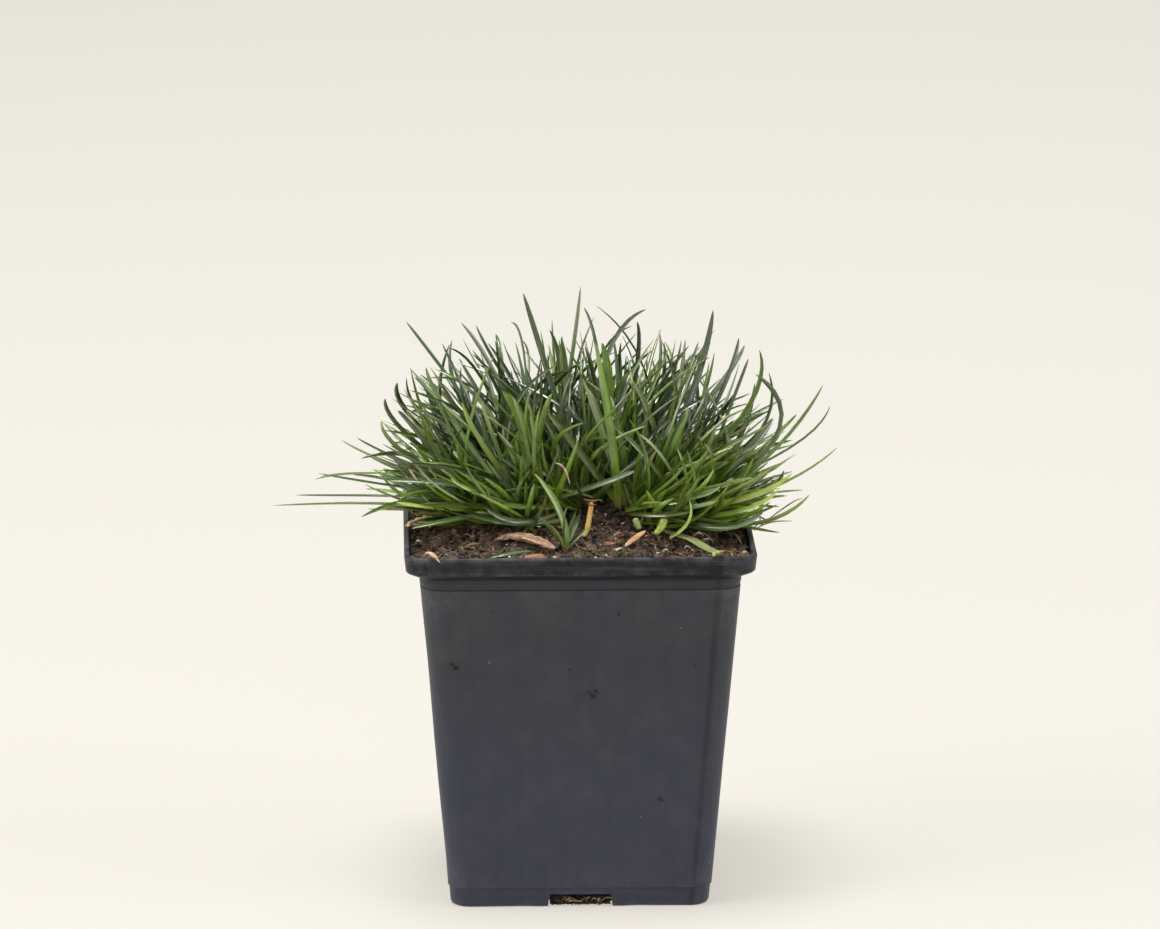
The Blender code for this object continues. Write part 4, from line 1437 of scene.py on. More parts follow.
LEAVES = read_leaves("""
left_front|-52 -6 101|-79 -4 100|1.5
left|-51 3 101|-73 8 100|1.4
left_back|-49 12 105|-68 13 103|1.4
left|-46 -4 105|-67 -2 108|1.5
left_front|-44 -6 104|-58 -8 108|1.3 fused
left_front|-43 -11 102|-56 -15 99|1.4
left|-48 0 110|-61 2 116|1.2
left|-45 8 109|-57 9 115|1.2 fused
left_front|-42 -1 112|-56 -3 112|2.4
left|-45 1 117|-50 0 127|1.7
left_back|-42 9 116|-47 6 129|2.0
left_front|-40 -5 118|-46 -6 125|1.6
front_left|-33 0 119|-43 3 123|1.9
left|-35 7 123|-42 9 131|1.4
middle_left|-33 8 131|-44 12 145|1.2
front_left|-31 -2 124|-38 0 136|1.4 fused
front_left|-28 -7 127|-35 -8 143|1.6
left_back|-24 14 129|-33 12 138|1.5
middle_left|-20 -4 132|-30 -4 148|2.0
back|-18 8 130|-26 8 145|1.3 fused
left_back|-13 19 134|-17 20 143|1.4 fused
middle_front|-8 -5 136|-14 -6 156|2.0
middle_left|-4 6 128|-7 6 144|1.5 fused
middle_left|-2 0 134|1 3 156|2.1 GREY
middle_right|6 6 134|2 10 149|1.3 fused
right|18 4 133|5 8 150|1.2
middle_front|7 -3 137|18 2 150|1.4
back|5 17 131|15 20 142|1.3 fused
middle_right|14 3 132|15 4 146|2.0
middle_front|8 -14 128|6 -16 145|2.2 FRESH broad=1.45
right_back|22 13 124|23 14 139|1.6 fused
middle_right|22 0 126|27 2 142|1.6
front_right|30 -4 130|35 -4 151|2.0 GREY
right|37 2 127|42 4 142|1.6
right_back|36 11 126|44 14 138|2.3 GREY
right_front|39 -6 125|44 -8 139|1.6
right|44 -1 124|47 -2 140|1.8 FRESH
right_front|52 0 118|46 -4 134|2.1 DEEP
right_front|52 -5 115|64 -6 132|1.9 FRESH
right|54 4 112|66 8 123|1.3
right_front|53 -11 107|67 -14 117|1.4
front_right|40 -25 99|51 -34 99|1.6 OLIVE
front_left|-17 -26 103|-26 -31 109|1.6 YELLOW
front_left|-24 -27 101|-36 -34 106|1.4 fused
front_right|34 -21 102|44 -26 103|1.5 FRESH
front_right|32 -17 105|37 -23 109|1.6 fused YELLOW
back|-3 41 112|-6 57 119|1.5 fused
right_back|24 38 108|31 54 107|1.4 fused
left_back|-22 39 105|-30 55 101|1.5 fused
sprig|-4.9 -34.7 103.9|-11.6 -33 114.6|1.9 LIGHT broad=1.25
sprig|-2.2 -35 100.5|-0.6 -34.5 104|1.3 fused DEEP
sprig|-3.8 -35.5 101.5|-3 -34.5 106|1.2 fused DEEP
sprig|-5.8 -35.5 98.6|-7.8 -35.5 101.5|1.4 fused OLIVE
""")

MORE_LEAVES = read_leaves("""
left_front|-43 -6 101|-55 -6 106|1.3
left|-35 2 108|-46 2 114|1.4
left_back|-35 10 111|-48 12 113|1.3
left|-28 8 118|-38 8 134|1.4
left_back|-34 10 117|-33 12 139|2.0 GREY
left_back|-30 14 124|-32 18 139|1.2
middle_left|-13 4 123|-23 4 141|1.5
left|-18 10 121|-27 10 138|1.2
back|-11 14 121|-19 12 140|1.2
front_left|-12 -6 121|-16 -4 143|1.3
middle_left|-3 2 124|-4 2 143|2.4 GREY
back|-1 14 126|5 14 146|1.2
back|4 12 124|16 12 142|1.2
middle_right|9 8 124|20 8 138|1.4
right_back|21 12 119|26 12 140|1.3
right_back|17 14 121|27 14 135|1.2
right|26 6 125|36 6 144|1.1
right_front|31 -6 120|34 -6 138|1.5
right_back|30 10 118|36 10 137|1.3
right|47 8 115|50 8 132|1.3
right_front|49 2 114|57 2 122|1.5
right_front|41 -14 100|49 -16 98|1.3
right|43 -4 103|51 -6 108|1.3
left_front|-20 -14 99|-36 -18 103|1.4 FRESH
front_right|29 -16 104|37 -17 107|1.7 YELLOW
right_front|36 -22 99|44 -24 102|1.6 FRESH
middle_front|6 -16 122|1 -18 135|1.8 GREY
front_left|-15 -18 122|-20 -20 133|2.6 LIGHT broad=1.2
front_left|-10 -20 123|-7 -22 133|1.8 FRESH
front_right|16 -18 120|19 -20 132|1.8 OLIVE
front_right|23 -20 116|28 -22 128|1.7 FRESH
front_right|7 -20 112|0 -22 122|1.6 OLIVE
front_left|-5 -20 113|-9 -22 126|1.8 FRESH
middle_front|11 -14 122|14 -16 135|1.8 FRESH
front_left|-20 -22 105|-32 -24 114|1.6 FRESH
""")

FRONT_LEAVES = read_leaves("""
middle_front|10 -19.5 98|8.6 -28.5 120.5|4.1 -25 147|2.8 FRESH
sprig|-4 -35 95.4|-6.8 -34.6 99.6|-10.4 -34 103.5|1.2 DEEP
sprig|-4 -35 95.6|-3 -35 100.5|-1.4 -35 105|1.1 DEEP
sprig|-3.6 -35 95.4|-0.8 -35.4 98.5|1.4 -35.4 100.6|1.1 DEEP
middle_front|12 -17 98|7 -23 120|1 -24 137|2.1 PALE
middle_front|11 -17 98|-0.5 -23 119|-8 -22 128|2.3 OLIVE
middle_front|13 -16 98|11 -20 118|8 -19 132|2.4 FRESH
front_left|-8 -20 98|-11 -24 119|-13 -24 131|2.1 LIGHT
front_left|-9 -20 99|-11.5 -25 117|-10 -25 130|1.6 LIGHT
middle_front|-3 -20 106|7 -27 111|14 -28 114|1.4 GREY
front_left|4 -19 105|-9 -24 109|-21 -26 108|0.9 OLIVE
front_left|-6 -20 101|-16 -28 101|-24 -31 105|1.4 GREY
front_left|-6 -20 99|-17 -26 100|-28 -29 103|1.6 DEEP
front_left|-6 -20 103|-14 -25 104|-23 -27 106|1.5 FRESH
front_left|-6 -19 102|-15 -25 116|-21 -26 124|2.2 OLIVE
front_left|-11 -18 104|-14 -21 122|-17 -21 132|1.2 PALE
left|-14 -16 104|-25 -21 120|-30 -22 131|1.5 YELLOW
left|-17 -10 106|-22 -17 121|-25 -18 130|1.2 PALE
left_front|-18 -17 99|-33 -25 107|-42 -27 116|1.1 OLIVE dry=1
left_front|-16 -17 103|-27 -24 108|-33 -26 112|1.1 YELLOW
front_left|-12 -18 100|-19 -25 110|-24 -27 117|1.1 GREY
left_front|-15 -18 102|-28 -23 104|-41 -26 105|2.2 OLIVE
left_front|-24 -16 101|-37 -21 103|-47 -23 105|1.5 YELLOW
left_front|-15 -16 104|-32 -20 109|-49 -20 110|2.2 DEEP
left_front|-14 -17 106|-30 -22 113|-44 -23 115|1.7 BLUISH
left_front|-16 -17 101|-30 -24 101|-43 -27 99|1.5 DEEP
right_front|27 -11 103|41 -16 114|50 -16 125|2.6 GREY
right_front|27 -14 102|43 -20 105|55 -18 111|1.8 YELLOW
front_right|22 -19 104|31 -27 107|36 -28 110|0.9 PALE
front_right|20 -19 102|29 -26 104|35 -28 106|1.5 PALE
front_right|24 -28 97|28 -27.5 101|28 -26 106|1.1 YELLOW
front_right|29 -20 99|27.5 -24 111|25 -24 119|1.3 FRESH
front_right|32 -19 100|34.5 -22 113|32 -23 120|1.2 OLIVE
front_right|23 -18 100|25.5 -21 119|28 -21 129|1.5 LIGHT
front_right|26 -19 103|16 -24 118|7 -24 126|1.3 FRESH
front_right|28 -19 104|21 -24 117|15 -25 123|0.9 PALE
middle_right|24 -8 108|18 -13 125|14 -13 134|1.4 PALE
front_right|24 -19 99|37 -28 99|47 -28 103|2.0 DEEP
right_front|30 -16 99|43 -24 103|51 -24 108|1.4 YELLOW
right_front|30 -16 98|41 -24 101|49 -25 105|1.4 FRESH
front_right|12 -19 100|20 -26 102|28 -28 103|1.4 OLIVE
front_right|11 -19 101|18 -25 104|26 -26 105|1.5 FRESH
""")


@dataclass
class Rosette:
    """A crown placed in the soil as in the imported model, with its centre and its three radii."""

    row: CrownRow
    soil: Soil
    rise: float = 1.6 * MM
    height: float = 1.25

    def __post_init__(self) -> None:
        """Works out its place and its radii."""
        x, y = self.row.x * MM, self.row.y * MM
        self.name = self.row.name
        self.radius = self.row.radius * MM
        self.centre = Vector((x, y, self.soil.level(x, y) + self.rise))
        self.radii = Vector((self.radius, self.radius, self.radius * self.height))

    def surface(self, direction: Vector, gap: float) -> Vector:
        """The point a gap outside the crown, seen from its centre along a direction.

        Args:
            direction: the direction.
            gap: how far outside.

        Returns:
            The point.
        """
        unit = direction.normalized()
        scaled = Vector((unit.x / self.radii.x, unit.y / self.radii.y, unit.z / self.radii.z))
        return self.centre + unit * (1.0 / scaled.length + gap)

    def depth(self, points: np.ndarray, margins: Union[float, np.ndarray]) -> np.ndarray:
        """Distance of points from the centre, as a share of the crown's size with margins round it."""
        room = np.array(self.radii) + np.reshape(margins, (-1, 1))
        return np.linalg.norm((points - np.array(self.centre)) / room, axis=1)


def taper(t: float) -> float:
    """Width of a packed leaf along its length: a little narrow at the base, then narrowing to the point."""
    return min(1.0, 0.75 + t) * (1.0 - t ** 3)


@dataclass
class Look:
    """How one leaf looks: its colour, turn and twist about its own line, dry tip, and if it faces front."""

    tint: Colour
    roll: float
    twist: float
    brown: float
    seed: float
    fronting: bool = False
    broad: float = 1.0


@dataclass
class Blade:
    """The shape of one leaf: a smooth curve through base, middle and tip, and a channelled section."""

    base: Vector
    mid: Vector
    tip: Vector
    width: float
    rosette: Rosette
    look: Optional[Look] = None

    SAMPLES = 40
    STATIONS = (-0.08, 0.0, 0.1, 0.2, 0.31, 0.42, 0.53, 0.64, 0.74, 0.83, 0.9, 0.95, 0.985)
    BLUNTNESS = 7
    SLIMNESS = 0.9
    SECTION = (
        (1.0, 0.16), (0.5, -0.14), (0.0, -0.4), (-0.5, -0.14),
        (-1.0, 0.16), (-0.6, -0.44), (0.0, -0.78), (0.6, -0.44),
    )

    def __post_init__(self) -> None:
        """Finds where the curve bends to, so that it passes through its middle."""
        self.bend = self.mid * 2 - (self.base + self.tip) / 2

    def point(self, t: float) -> Vector:
        """The point at the share t of the curve."""
        return self.base * (1 - t) ** 2 + self.bend * (2 * t * (1 - t)) + self.tip * t ** 2

    def along(self, t: float) -> Vector:
        """The direction of the curve at the share t."""
        return ((self.bend - self.base) * (1 - t) + (self.tip - self.bend) * t).normalized()

    def samples(self) -> tuple[np.ndarray, np.ndarray]:
        """Points along the curve outside the leaf's own crown, and the leaf's half width at each.

        Returns:
            The points and the half widths.
        """
        shares = [(index + 0.5) / self.SAMPLES for index in range(self.SAMPLES)]
        points = np.array([self.point(t) for t in shares])
        radii = np.array([self.width / 2 * taper(t) for t in shares])
        outside = self.rosette.depth(points, 0.0) > 1.0
        return points[outside], radii[outside]

    def width_at(self, t: float) -> float:
        """Half width of the finished leaf at the share t.

        Args:
            t: the share.

        Returns:
            The half width.
        """
        share = min(1.0, max(0.0, t))
        size = self.SLIMNESS * self.look.broad * self.width / 2
        return size * min(1.0, 0.8 + share) * (1.0 - share ** self.BLUNTNESS) ** 0.7

    def ring(self, t: float) -> list[Vector]:
        """The points round the leaf at the share t.

        Args:
            t: the share.

        Returns:
            The points.
        """
        along = self.along(t)
        lean = self.tip - self.base
        lean.z = 0.0
        upwards = Vector((0.0, 0.0, 0.6)) - lean.normalized()
        facing = Vector((0.0, -1.0, 0.35)) if self.look.fronting else upwards
        facing = (facing - along * facing.dot(along)).normalized()
        facing.rotate(Quaternion(along, self.look.roll + self.look.twist * t))
        side = along.cross(facing)
        half = self.width_at(t)
        place = self.point(t)
        return [place + side * (half * across) + facing * (half * up) for across, up in self.SECTION]

    def add_to(self, skin: Skin) -> None:
        """Adds the leaf, which starts inside its crown and ends in a point.

        Args:
            skin: what it is added to.
        """
        look = self.look
        rings = []
        across = [spot[0] for spot in self.SECTION]
        for t in self.STATIONS:
            rings.append(skin.add(
                self.ring(t), look.tint, along=max(0.0, t), across=across, seed=look.seed, brown=look.brown,
            ))
        for lower, upper in zip(rings, rings[1:]):
            skin.band(lower, upper)
        point = skin.add([self.tip], look.tint, along=1.0, seed=look.seed, brown=look.brown)[0]
        skin.fan(rings[-1], point)
        skin.faces.append(list(reversed(rings[0])))


@dataclass
class Thicket:
    """Everything that a new leaf has to keep clear of: leaves, crowns, the soil and the pot's rim."""

    rosettes: Sequence[Rosette]
    soil: Soil
    points: np.ndarray = field(default_factory=lambda: np.empty((0, 3)))
    radii: np.ndarray = field(default_factory=lambda: np.empty(0))
    spacing: float = 0.4 * MM
    margin: float = 0.9 * MM
    clearance: float = 0.4 * MM
    room: float = 4 * MM
    parts: int = 5

    def misses_leaves(self, points: np.ndarray, radii: np.ndarray) -> bool:
        """Whether a leaf is clear of the leaves placed so far.

        Args:
            points: points along the leaf.
            radii: the leaf's half width at each.

        Returns:
            True if it is.
        """
        for part in np.array_split(np.arange(len(points)), self.parts):
            spots = points[part]
            low = spots.min(axis=0) - self.room
            high = spots.max(axis=0) + self.room
            near = ((self.points > low) & (self.points < high)).all(axis=1)
            away = np.linalg.norm(spots[:, None, :] - self.points[None, near, :], axis=2)
            if (away <= radii[part, None] + self.radii[None, near] + self.spacing).any():
                return False
        return True

    def misses_crowns(self, points: np.ndarray, radii: np.ndarray, home: Rosette) -> bool:
        """Whether a leaf is clear of every crown but its own."""
        others = [rosette for rosette in self.rosettes if rosette is not home]
        return all((rosette.depth(points, radii + self.spacing) > 1.0).all() for rosette in others)

    def misses_ground(self, points: np.ndarray, radii: np.ndarray) -> bool:
        """Whether a leaf stays above the soil and the rim.

        Args:
            points: points along the leaf.
            radii: the leaf's half width at each.

        Returns:
            True if it does.
        """
        pot = self.soil.pot
        rim_inner = pot.rim_half - pot.rim_wall - self.clearance
        rim_outer = pot.rim_half + self.clearance
        for point, radius in zip(points, radii):
            reach = max(abs(point[0]), abs(point[1]))
            lowest = point[2] - radius - self.clearance
            if reach - radius < rim_outer and reach + radius > rim_inner and lowest < pot.height:
                return False
            if reach < rim_inner and lowest < self.soil.level(point[0], point[1]) + self.margin:
                return False
            if reach > rim_outer and lowest < pot.height:
                return False
        return True

    def takes(self, blade: Blade) -> bool:
        """Keeps a leaf and says so, if it is clear of everything.

        Args:
            blade: the leaf.

        Returns:
            Whether it was kept.
        """
        points, radii = blade.samples()
        clear = self.misses_leaves(points, radii) and self.misses_crowns(points, radii, blade.rosette)
        if not clear or not self.misses_ground(points, radii):
            return False
        self.keep(blade)
        return True

    def keep(self, blade: Blade) -> None:
        """Keeps a leaf, which later ones then have to miss.

        Args:
            blade: the leaf.
        """
        points, radii = blade.samples()
        self.points = np.vstack([self.points, points])
        self.radii = np.concatenate([self.radii, radii])


def grown_blade(rosette: Rosette, mid: Vector, tip: Vector, width: float, gap: float) -> Blade:
    """The leaf that leaves its crown straight out and passes through a middle point to its tip.

    Args:
        rosette: its crown.
        mid: its middle.
        tip: its tip.
        width: its width.
        gap: how far outside the crown it starts.

    Returns:
        The leaf.
    """
    base = rosette.surface(mid - rosette.centre, gap)
    for _ in range(4):
        bend = mid * 2 - (base + tip) / 2
        base = rosette.surface(bend - rosette.centre, gap)
    return Blade(base, mid, tip, width, rosette)


def sidesteps() -> list[Vector]:
    """Small shifts of a leaf's middle, the least first, tried until the leaf is clear of the others.

    Returns:
        The shifts.
    """
    shifts = [Vector((0.0, 0.0, 0.0))]
    for size in (1.2, 2.4, 3.6, 4.8):
        for turn in range(8):
            angle = turn * math.pi / 4
            level, upright = size * math.cos(angle), size * math.sin(angle)
            shifts.append(mm(0.4 * level, level, 0.5 * upright))
    return shifts


@dataclass
class Tuft:
    """The plant: thirteen rosettes, the leaves with places of their own and the many that follow the rule."""

    soil: Soil
    dome_centre: Vector = field(default_factory=lambda: mm(2, 2, 97))
    dome_halves: Vector = field(default_factory=lambda: mm(55, 48, 49))
    dome_front: float = 36.0 * MM
    dome_squareness: float = 2.6
    lean_reach: float = 30.0 * MM
    packed_tries: int = 60
    gap: float = 0.3 * MM
    crowding: float = -1.0 * MM
    crowded_margin: float = 0.3 * MM
    rounds: int = 6
    thinning: float = 0.3
    thinned_from: float = 124.0 * MM
    high_slimness: float = 0.14
    slimming: tuple[float, float] = (112 * MM, 136 * MM)
    fronting: tuple[float, float] = (14 * MM, -22 * MM)
    lowering: tuple[float, float] = (128 * MM, 106 * MM)
    rising: tuple[float, float] = (120 * MM, 142 * MM)
    own_fanning: float = 1.2
    own_straying: float = 2.7
    fanning: float = 1.5
    straying: float = 2.1
    spread: float = 1.6
    slimness: float = 1.02
    front_bases: float = -21.0 * MM
    skirt_tries: int = 60
    shoots: int = 90
    waviness: float = 0.085
    scatter: float = 0.05
    skirt_back: float = 10.0 * MM
    crossing: float = 12.0 * MM
    crossing_front: float = -18.0 * MM
    rosettes: list[Rosette] = field(default_factory=list)
    blades: dict[str, list[Blade]] = field(default_factory=dict)
    nodes: dict[str, list[str]] = field(default_factory=dict)

    def dome_share(self, point: Vector) -> float:
        """How far out a point lies in the dome: 0 in its middle and 1 on its skin.

        Args:
            point: the point.

        Returns:
            The share.
        """
        away = point - self.dome_centre
        halves = self.dome_halves.copy()
        if away.y < 0:
            halves.y = self.dome_front
        total = sum(abs(part / half) ** self.dome_squareness for part, half in zip(away, halves))
        return total ** (1 / self.dome_squareness)

    def dome_distance(self, start: Vector, direction: Vector) -> float:
        """How far it is from a point inside the dome to its skin.

        Args:
            start: the point.
            direction: which way.

        Returns:
            The distance.
        """
        near = 0.0
        far = 4 * self.dome_halves.x
        for _ in range(20):
            middle = (near + far) / 2
            if self.dome_share(start + direction * middle) < 1.0:
                near = middle
            else:
                far = middle
        return near

    def rule_leaf(
        self, rosette: Rosette, order: int, count: int, turn: int, fanning: float, straying: float,
    ) -> Blade:
        """One of a crown's own leaves: low outside and steep in the middle.

        Args:
            rosette: the crown that it grows from.
            order: its number, from the outermost.
            count: how many such numbers there are.
            turn: the number that this crown's chance values follow from.
            fanning: how much it leans away from the tuft's middle.
            straying: how much it leans any way at all.

        Returns:
            The leaf.
        """
        dice = random.Random(1000 * turn + order)
        share = (order + 0.5) / count
        angle = order * GOLDEN_ANGLE + turn
        heading = Vector((math.cos(angle), math.sin(angle), 0.0))
        outward = Vector((rosette.centre.x, rosette.centre.y, 0.0)) / self.lean_reach
        freedom = max(0.0, heading.dot(outward)) * (1.0 - share)
        lean = outward * fanning + heading * (0.25 + straying * (1.0 - share) ** 1.4)
        if lean.y < 0:
            lean.y *= 0.75
        direction = (lean + UP).normalized()
        length = self.dome_distance(rosette.centre, direction) * dice.uniform(0.66, 1.0)
        length *= 1.0 + 0.2 * freedom
        aside = lean.normalized()
        over = UP * lean.length - aside
        over.normalize()
        sag = 0.05 * direction.xy.length + dice.uniform(-0.05, 0.06)
        swerve = dice.uniform(-0.07, 0.07)
        mid = rosette.centre + (direction * 0.5 - over * sag + aside.cross(UP) * swerve) * length
        tip = rosette.centre + direction * length
        width = dice.uniform(1.3, 1.9) * MM
        return grown_blade(rosette, mid, tip, width, -rosette.radius * 0.5)

    def filler_leaf(self, rosette: Rosette, order: int, count: int, turn: int) -> Blade:
        """A leaf by the same rule that starts anywhere in its crown; its numbers mean the same.

        Args:
            rosette: the crown that it grows from.
            order: its number, as in rule_leaf.
            count: how many such numbers there are.
            turn: the number that its chance values follow from.

        Returns:
            The leaf.
        """
        blade = self.rule_leaf(rosette, order, count, turn, self.fanning, self.straying)
        dice = random.Random(3000 * turn + order)
        angle = dice.uniform(0, 2 * math.pi)
        reach = rosette.radius * self.spread * math.sqrt(dice.random())
        base = rosette.centre + Vector((math.cos(angle), math.sin(angle), 0.0)) * reach
        if rosette.centre.y > self.front_bases:
            base.y = max(base.y, self.front_bases)
        base.z = max(base.z - 1.5 * MM * reach / rosette.radius, self.soil.level(base.x, base.y) - 0.4 * MM)
        length = (blade.tip - base).length
        bow = Vector((dice.gauss(0, 1), dice.gauss(0, 1), dice.gauss(0, 1))) * self.waviness * length
        aside = Vector((dice.gauss(0, 1), dice.gauss(0, 1), dice.gauss(0, 0.5))) * self.scatter * length
        mid = blade.mid + (base - rosette.centre) * 0.5 + bow
        slimness = self.slimness - self.high_slimness * ramp(blade.tip.z, *self.slimming)
        return Blade(base, mid, blade.tip + aside * 1.2, blade.width * slimness, rosette)

    def skirt_leaf(self, rosette: Rosette, number: int) -> Blade:
        """A leaf that sprawls low over the soil, mostly sideways, and lifts its tip.

        Args:
            rosette: the crown that it grows from.
            number: the number that its chance values follow from.

        Returns:
            The leaf.
        """
        dice = random.Random(f"{rosette.name} {number}")
        side = math.copysign(1.0, rosette.centre.x + dice.uniform(-9, 9) * MM)
        swing = dice.uniform(-0.75, 0.95)
        heading = Vector((math.cos(swing) * side, -math.sin(swing), 0.0))
        rise = math.radians(3 + 27 * dice.random())
        direction = heading * math.cos(rise) + UP * math.sin(rise)
        base = rosette.centre + Vector((dice.gauss(0, 3), dice.gauss(0, 3), 0.0)) * MM
        base.y = max(base.y, self.front_bases)
        base.z = self.soil.level(base.x, base.y) + dice.uniform(-0.4, 1.6) * MM
        length = self.dome_distance(base, direction) * dice.uniform(0.6, 1.08)
        bow = Vector((0.0, 0.0, dice.uniform(-0.07, 0.06))) + heading.cross(UP) * dice.uniform(-0.08, 0.08)
        tip = base + direction * length
        mid = base + (direction * 0.5 + bow) * length
        return Blade(base, mid, tip, dice.uniform(1.3, 2.0) * MM, rosette)

    def crosses(self, blade: Blade) -> bool:
        """Whether a leaf in front of the tuft runs far back across it, against its crown's side.

        Args:
            blade: the leaf.

        Returns:
            True if it does.
        """
        home = math.copysign(1.0, blade.rosette.centre.x)
        back_across = (blade.base.x - blade.tip.x) * home > self.crossing
        return back_across and blade.mid.y < self.crossing_front

    def look_for(self, blade: Blade, seed: int, tone: Optional[Tone]) -> Look:
        """Chooses how a leaf looks: fresher in front and low down, bluish at the back and on top, with
        painted light on the low leaves and painted shade on the high ones.

        Args:
            blade: the leaf.
            seed: the number that its chance values follow from.
            tone: its green, or None for any.

        Returns:
            The look.
        """
        dice = random.Random(seed)
        front = ramp(blade.mid.y, *self.fronting)
        low = ramp(blade.tip.z, *self.lowering)
        high = ramp(blade.tip.z, *self.rising) * (1.0 - 0.6 * front)
        if tone is None:
            weights = (
                (Tone.DEEP, 1.5 - 0.5 * low),
                (Tone.SLATE, 0.5 + 2.2 * high - 0.4 * front),
                (Tone.BLUISH, 1.7 - 1.4 * front),
                (Tone.GREY, 0.5 - 0.35 * front),
                (Tone.FRESH, 0.3 + 1.5 * front - 0.2 * high),
                (Tone.OLIVE, 0.3 + 0.8 * low - 0.1 * high),
                (Tone.LIGHT, 0.04 + 0.3 * front + 0.2 * low),
                (Tone.YELLOW, 0.2 * low),
            )
            tone = dice.choices([row[0] for row in weights], [row[1] for row in weights])[0]
        # A random tone, times painted light on low leaves and painted shade on high ones.
        light = dice.uniform(0.75, 1.3) * (0.93 + 0.32 * low - 0.14 * high)
        tint = tuple(part * light * dice.uniform(0.94, 1.06) for part in tone.colour)
        brown = dice.uniform(0.5, 1.0) if dice.random() < 0.07 else dice.uniform(0.0, 0.2)
        return Look(tint, dice.gauss(0, 0.65), dice.gauss(0, 0.5), brown, dice.random())

    def keep(self, blade: Blade, seed: int, tone: Optional[Tone] = None) -> None:
        """Gives a leaf its look and adds it to its rosette."""
        blade.look = self.look_for(blade, seed, tone)
        self.blades[blade.rosette.name].append(blade)

    def home(self, name: str) -> Rosette:
        """The rosette of a name."""
        return next(rosette for rosette in self.rosettes if rosette.name == name)

    def place_row(self, row: LeafRow, thicket: Thicket, seed: int) -> None:
        """Places a leaf where there is room: its middle, and half as much its tip, moves aside if need be.

        Args:
            row: the leaf.
            thicket: what it has to miss.
            seed: the number that its look follows from.
        """
        rosette = self.home(row.crown)
        mid, tip = row.points
        gap = -rosette.radius * 0.5 if row.fused else self.gap + 0.05 * MM
        for shift in sidesteps():
            blade = grown_blade(rosette, mid + shift, tip + shift / 2, row.width, gap)
            if thicket.takes(blade):
                if row.crown == "sprig":
                    blade = Blade(rosette.centre - UP * MM, blade.mid, blade.tip, blade.width, rosette)
                self.keep(blade, seed, row.tone)
                if row.broad > 1.0:
                    self.turn_front(blade.look, row.broad)
                return

    def turn_front(self, look: Look, broad: float = 1.0) -> None:
        """Turns a leaf's broad side to the front, because its width was read there.

        Args:
            look: the leaf's look, which is changed.
            broad: how much broader it is drawn.
        """
        look.fronting = True
        look.roll *= 0.6
        look.twist *= 0.7
        look.broad = broad

    def place_front(self, row: LeafRow, thicket: Thicket, seed: int) -> None:
        """Places a leaf in front of the tuft, moved aside where that clears it of the others.

        Args:
            row: the leaf.
            thicket: what it has to miss.
            seed: the number that its look follows from.
        """
        base, mid, tip = (point.copy() for point in row.points)
        base.z = max(base.z, self.soil.level(base.x, base.y) - 0.3 * MM)
        for shift in (*sidesteps()[:9], Vector((0.0, 0.0, 0.0))):
            blade = Blade(base, mid + shift, tip + shift / 2, row.width, self.home(row.crown))
            if thicket.takes(blade):
                break
        else:
            thicket.keep(blade)
        self.keep(blade, seed, row.tone)
        blade.look.brown = row.dry
        self.turn_front(blade.look)

    def grow_shoots(self, thicket: Thicket) -> None:
        """Grows the short crowded shoots low in front at the right.

        Args:
            thicket: what they have to miss.
        """
        dice = random.Random(77)
        rosette = self.home("front_right")
        for number in range(self.shoots):
            x = dice.uniform(12, 35) * MM
            y = dice.uniform(-24, -15) * MM
            base = Vector((x, y, self.soil.level(x, y)))
            side = dice.gauss(0.15, 0.75)
            direction = Vector((side, dice.uniform(-0.5, 0.3), 1.0)).normalized()
            length = dice.uniform(9, 25) * MM
            bow = Vector((dice.gauss(0, 1), dice.gauss(0, 1), 0.0)) * 0.1 * length
            mid, tip = base + direction * length / 2 + bow, base + direction * length
            blade = Blade(base, mid, tip, dice.uniform(0.9, 1.4) * MM, rosette)
            if thicket.takes(blade):
                self.keep(blade, 800 + number, dice.choice((Tone.FRESH, Tone.OLIVE, Tone.LIGHT, Tone.DEEP)))

    def grow(self) -> None:
        """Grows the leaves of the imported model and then, closer together, all the others."""
        self.rosettes = [Rosette(row, self.soil) for row in CROWNS]
        self.blades = {rosette.name: [] for rosette in self.rosettes}
        self.nodes = {rosette.name: [f"rosette_{rosette.name}"] for rosette in self.rosettes}
        thicket = Thicket(self.rosettes, self.soil)
        number = 0
        for seed, row in enumerate(LEAVES):
            self.place_row(row, thicket, seed)
            if not row.fused:
                number += 1
                self.nodes[row.crown].append(f"leaf_{number:02d}")
        taken = set()
        tries = self.packed_tries
        for turn, rosette in enumerate(self.rosettes):
            count = 0
            for step in range(tries):
                if count == rosette.row.fused:
                    break
                order = step * 7 % tries
                blade = self.rule_leaf(rosette, order, tries, turn, self.own_fanning, self.own_straying)
                if thicket.takes(blade):
                    count += 1
                    taken.add((turn, order))
                    self.keep(blade, 1000 * turn + order)
        thicket.spacing = self.crowding
        thicket.margin = self.crowded_margin
        for seed, row in enumerate(MORE_LEAVES):
            self.place_row(row, thicket, 500 + seed)
        for seed, row in enumerate(FRONT_LEAVES):
            self.place_front(row, thicket, 600 + seed)
        self.grow_shoots(thicket)
        for number in range(self.skirt_tries):
            for rosette in self.rosettes[:-1]:
                blade = self.skirt_leaf(rosette, number)
                if rosette.centre.y < self.skirt_back and not self.crosses(blade) and thicket.takes(blade):
                    self.keep(blade, 7000 + number)
        dice = random.Random(9)
        for lap in range(self.rounds):
            for turn, rosette in enumerate(self.rosettes[:-1]):
                for order in range(tries):
                    if (turn, order) in taken and lap == 0:
                        continue
                    blade = self.filler_leaf(rosette, order, tries, turn + 40 * lap)
                    if blade.tip.z > self.thinned_from and dice.random() < self.thinning:
                        continue
                    if not self.crosses(blade) and thicket.takes(blade):
                        self.keep(blade, 1000 * (turn + 40 * lap) + order)

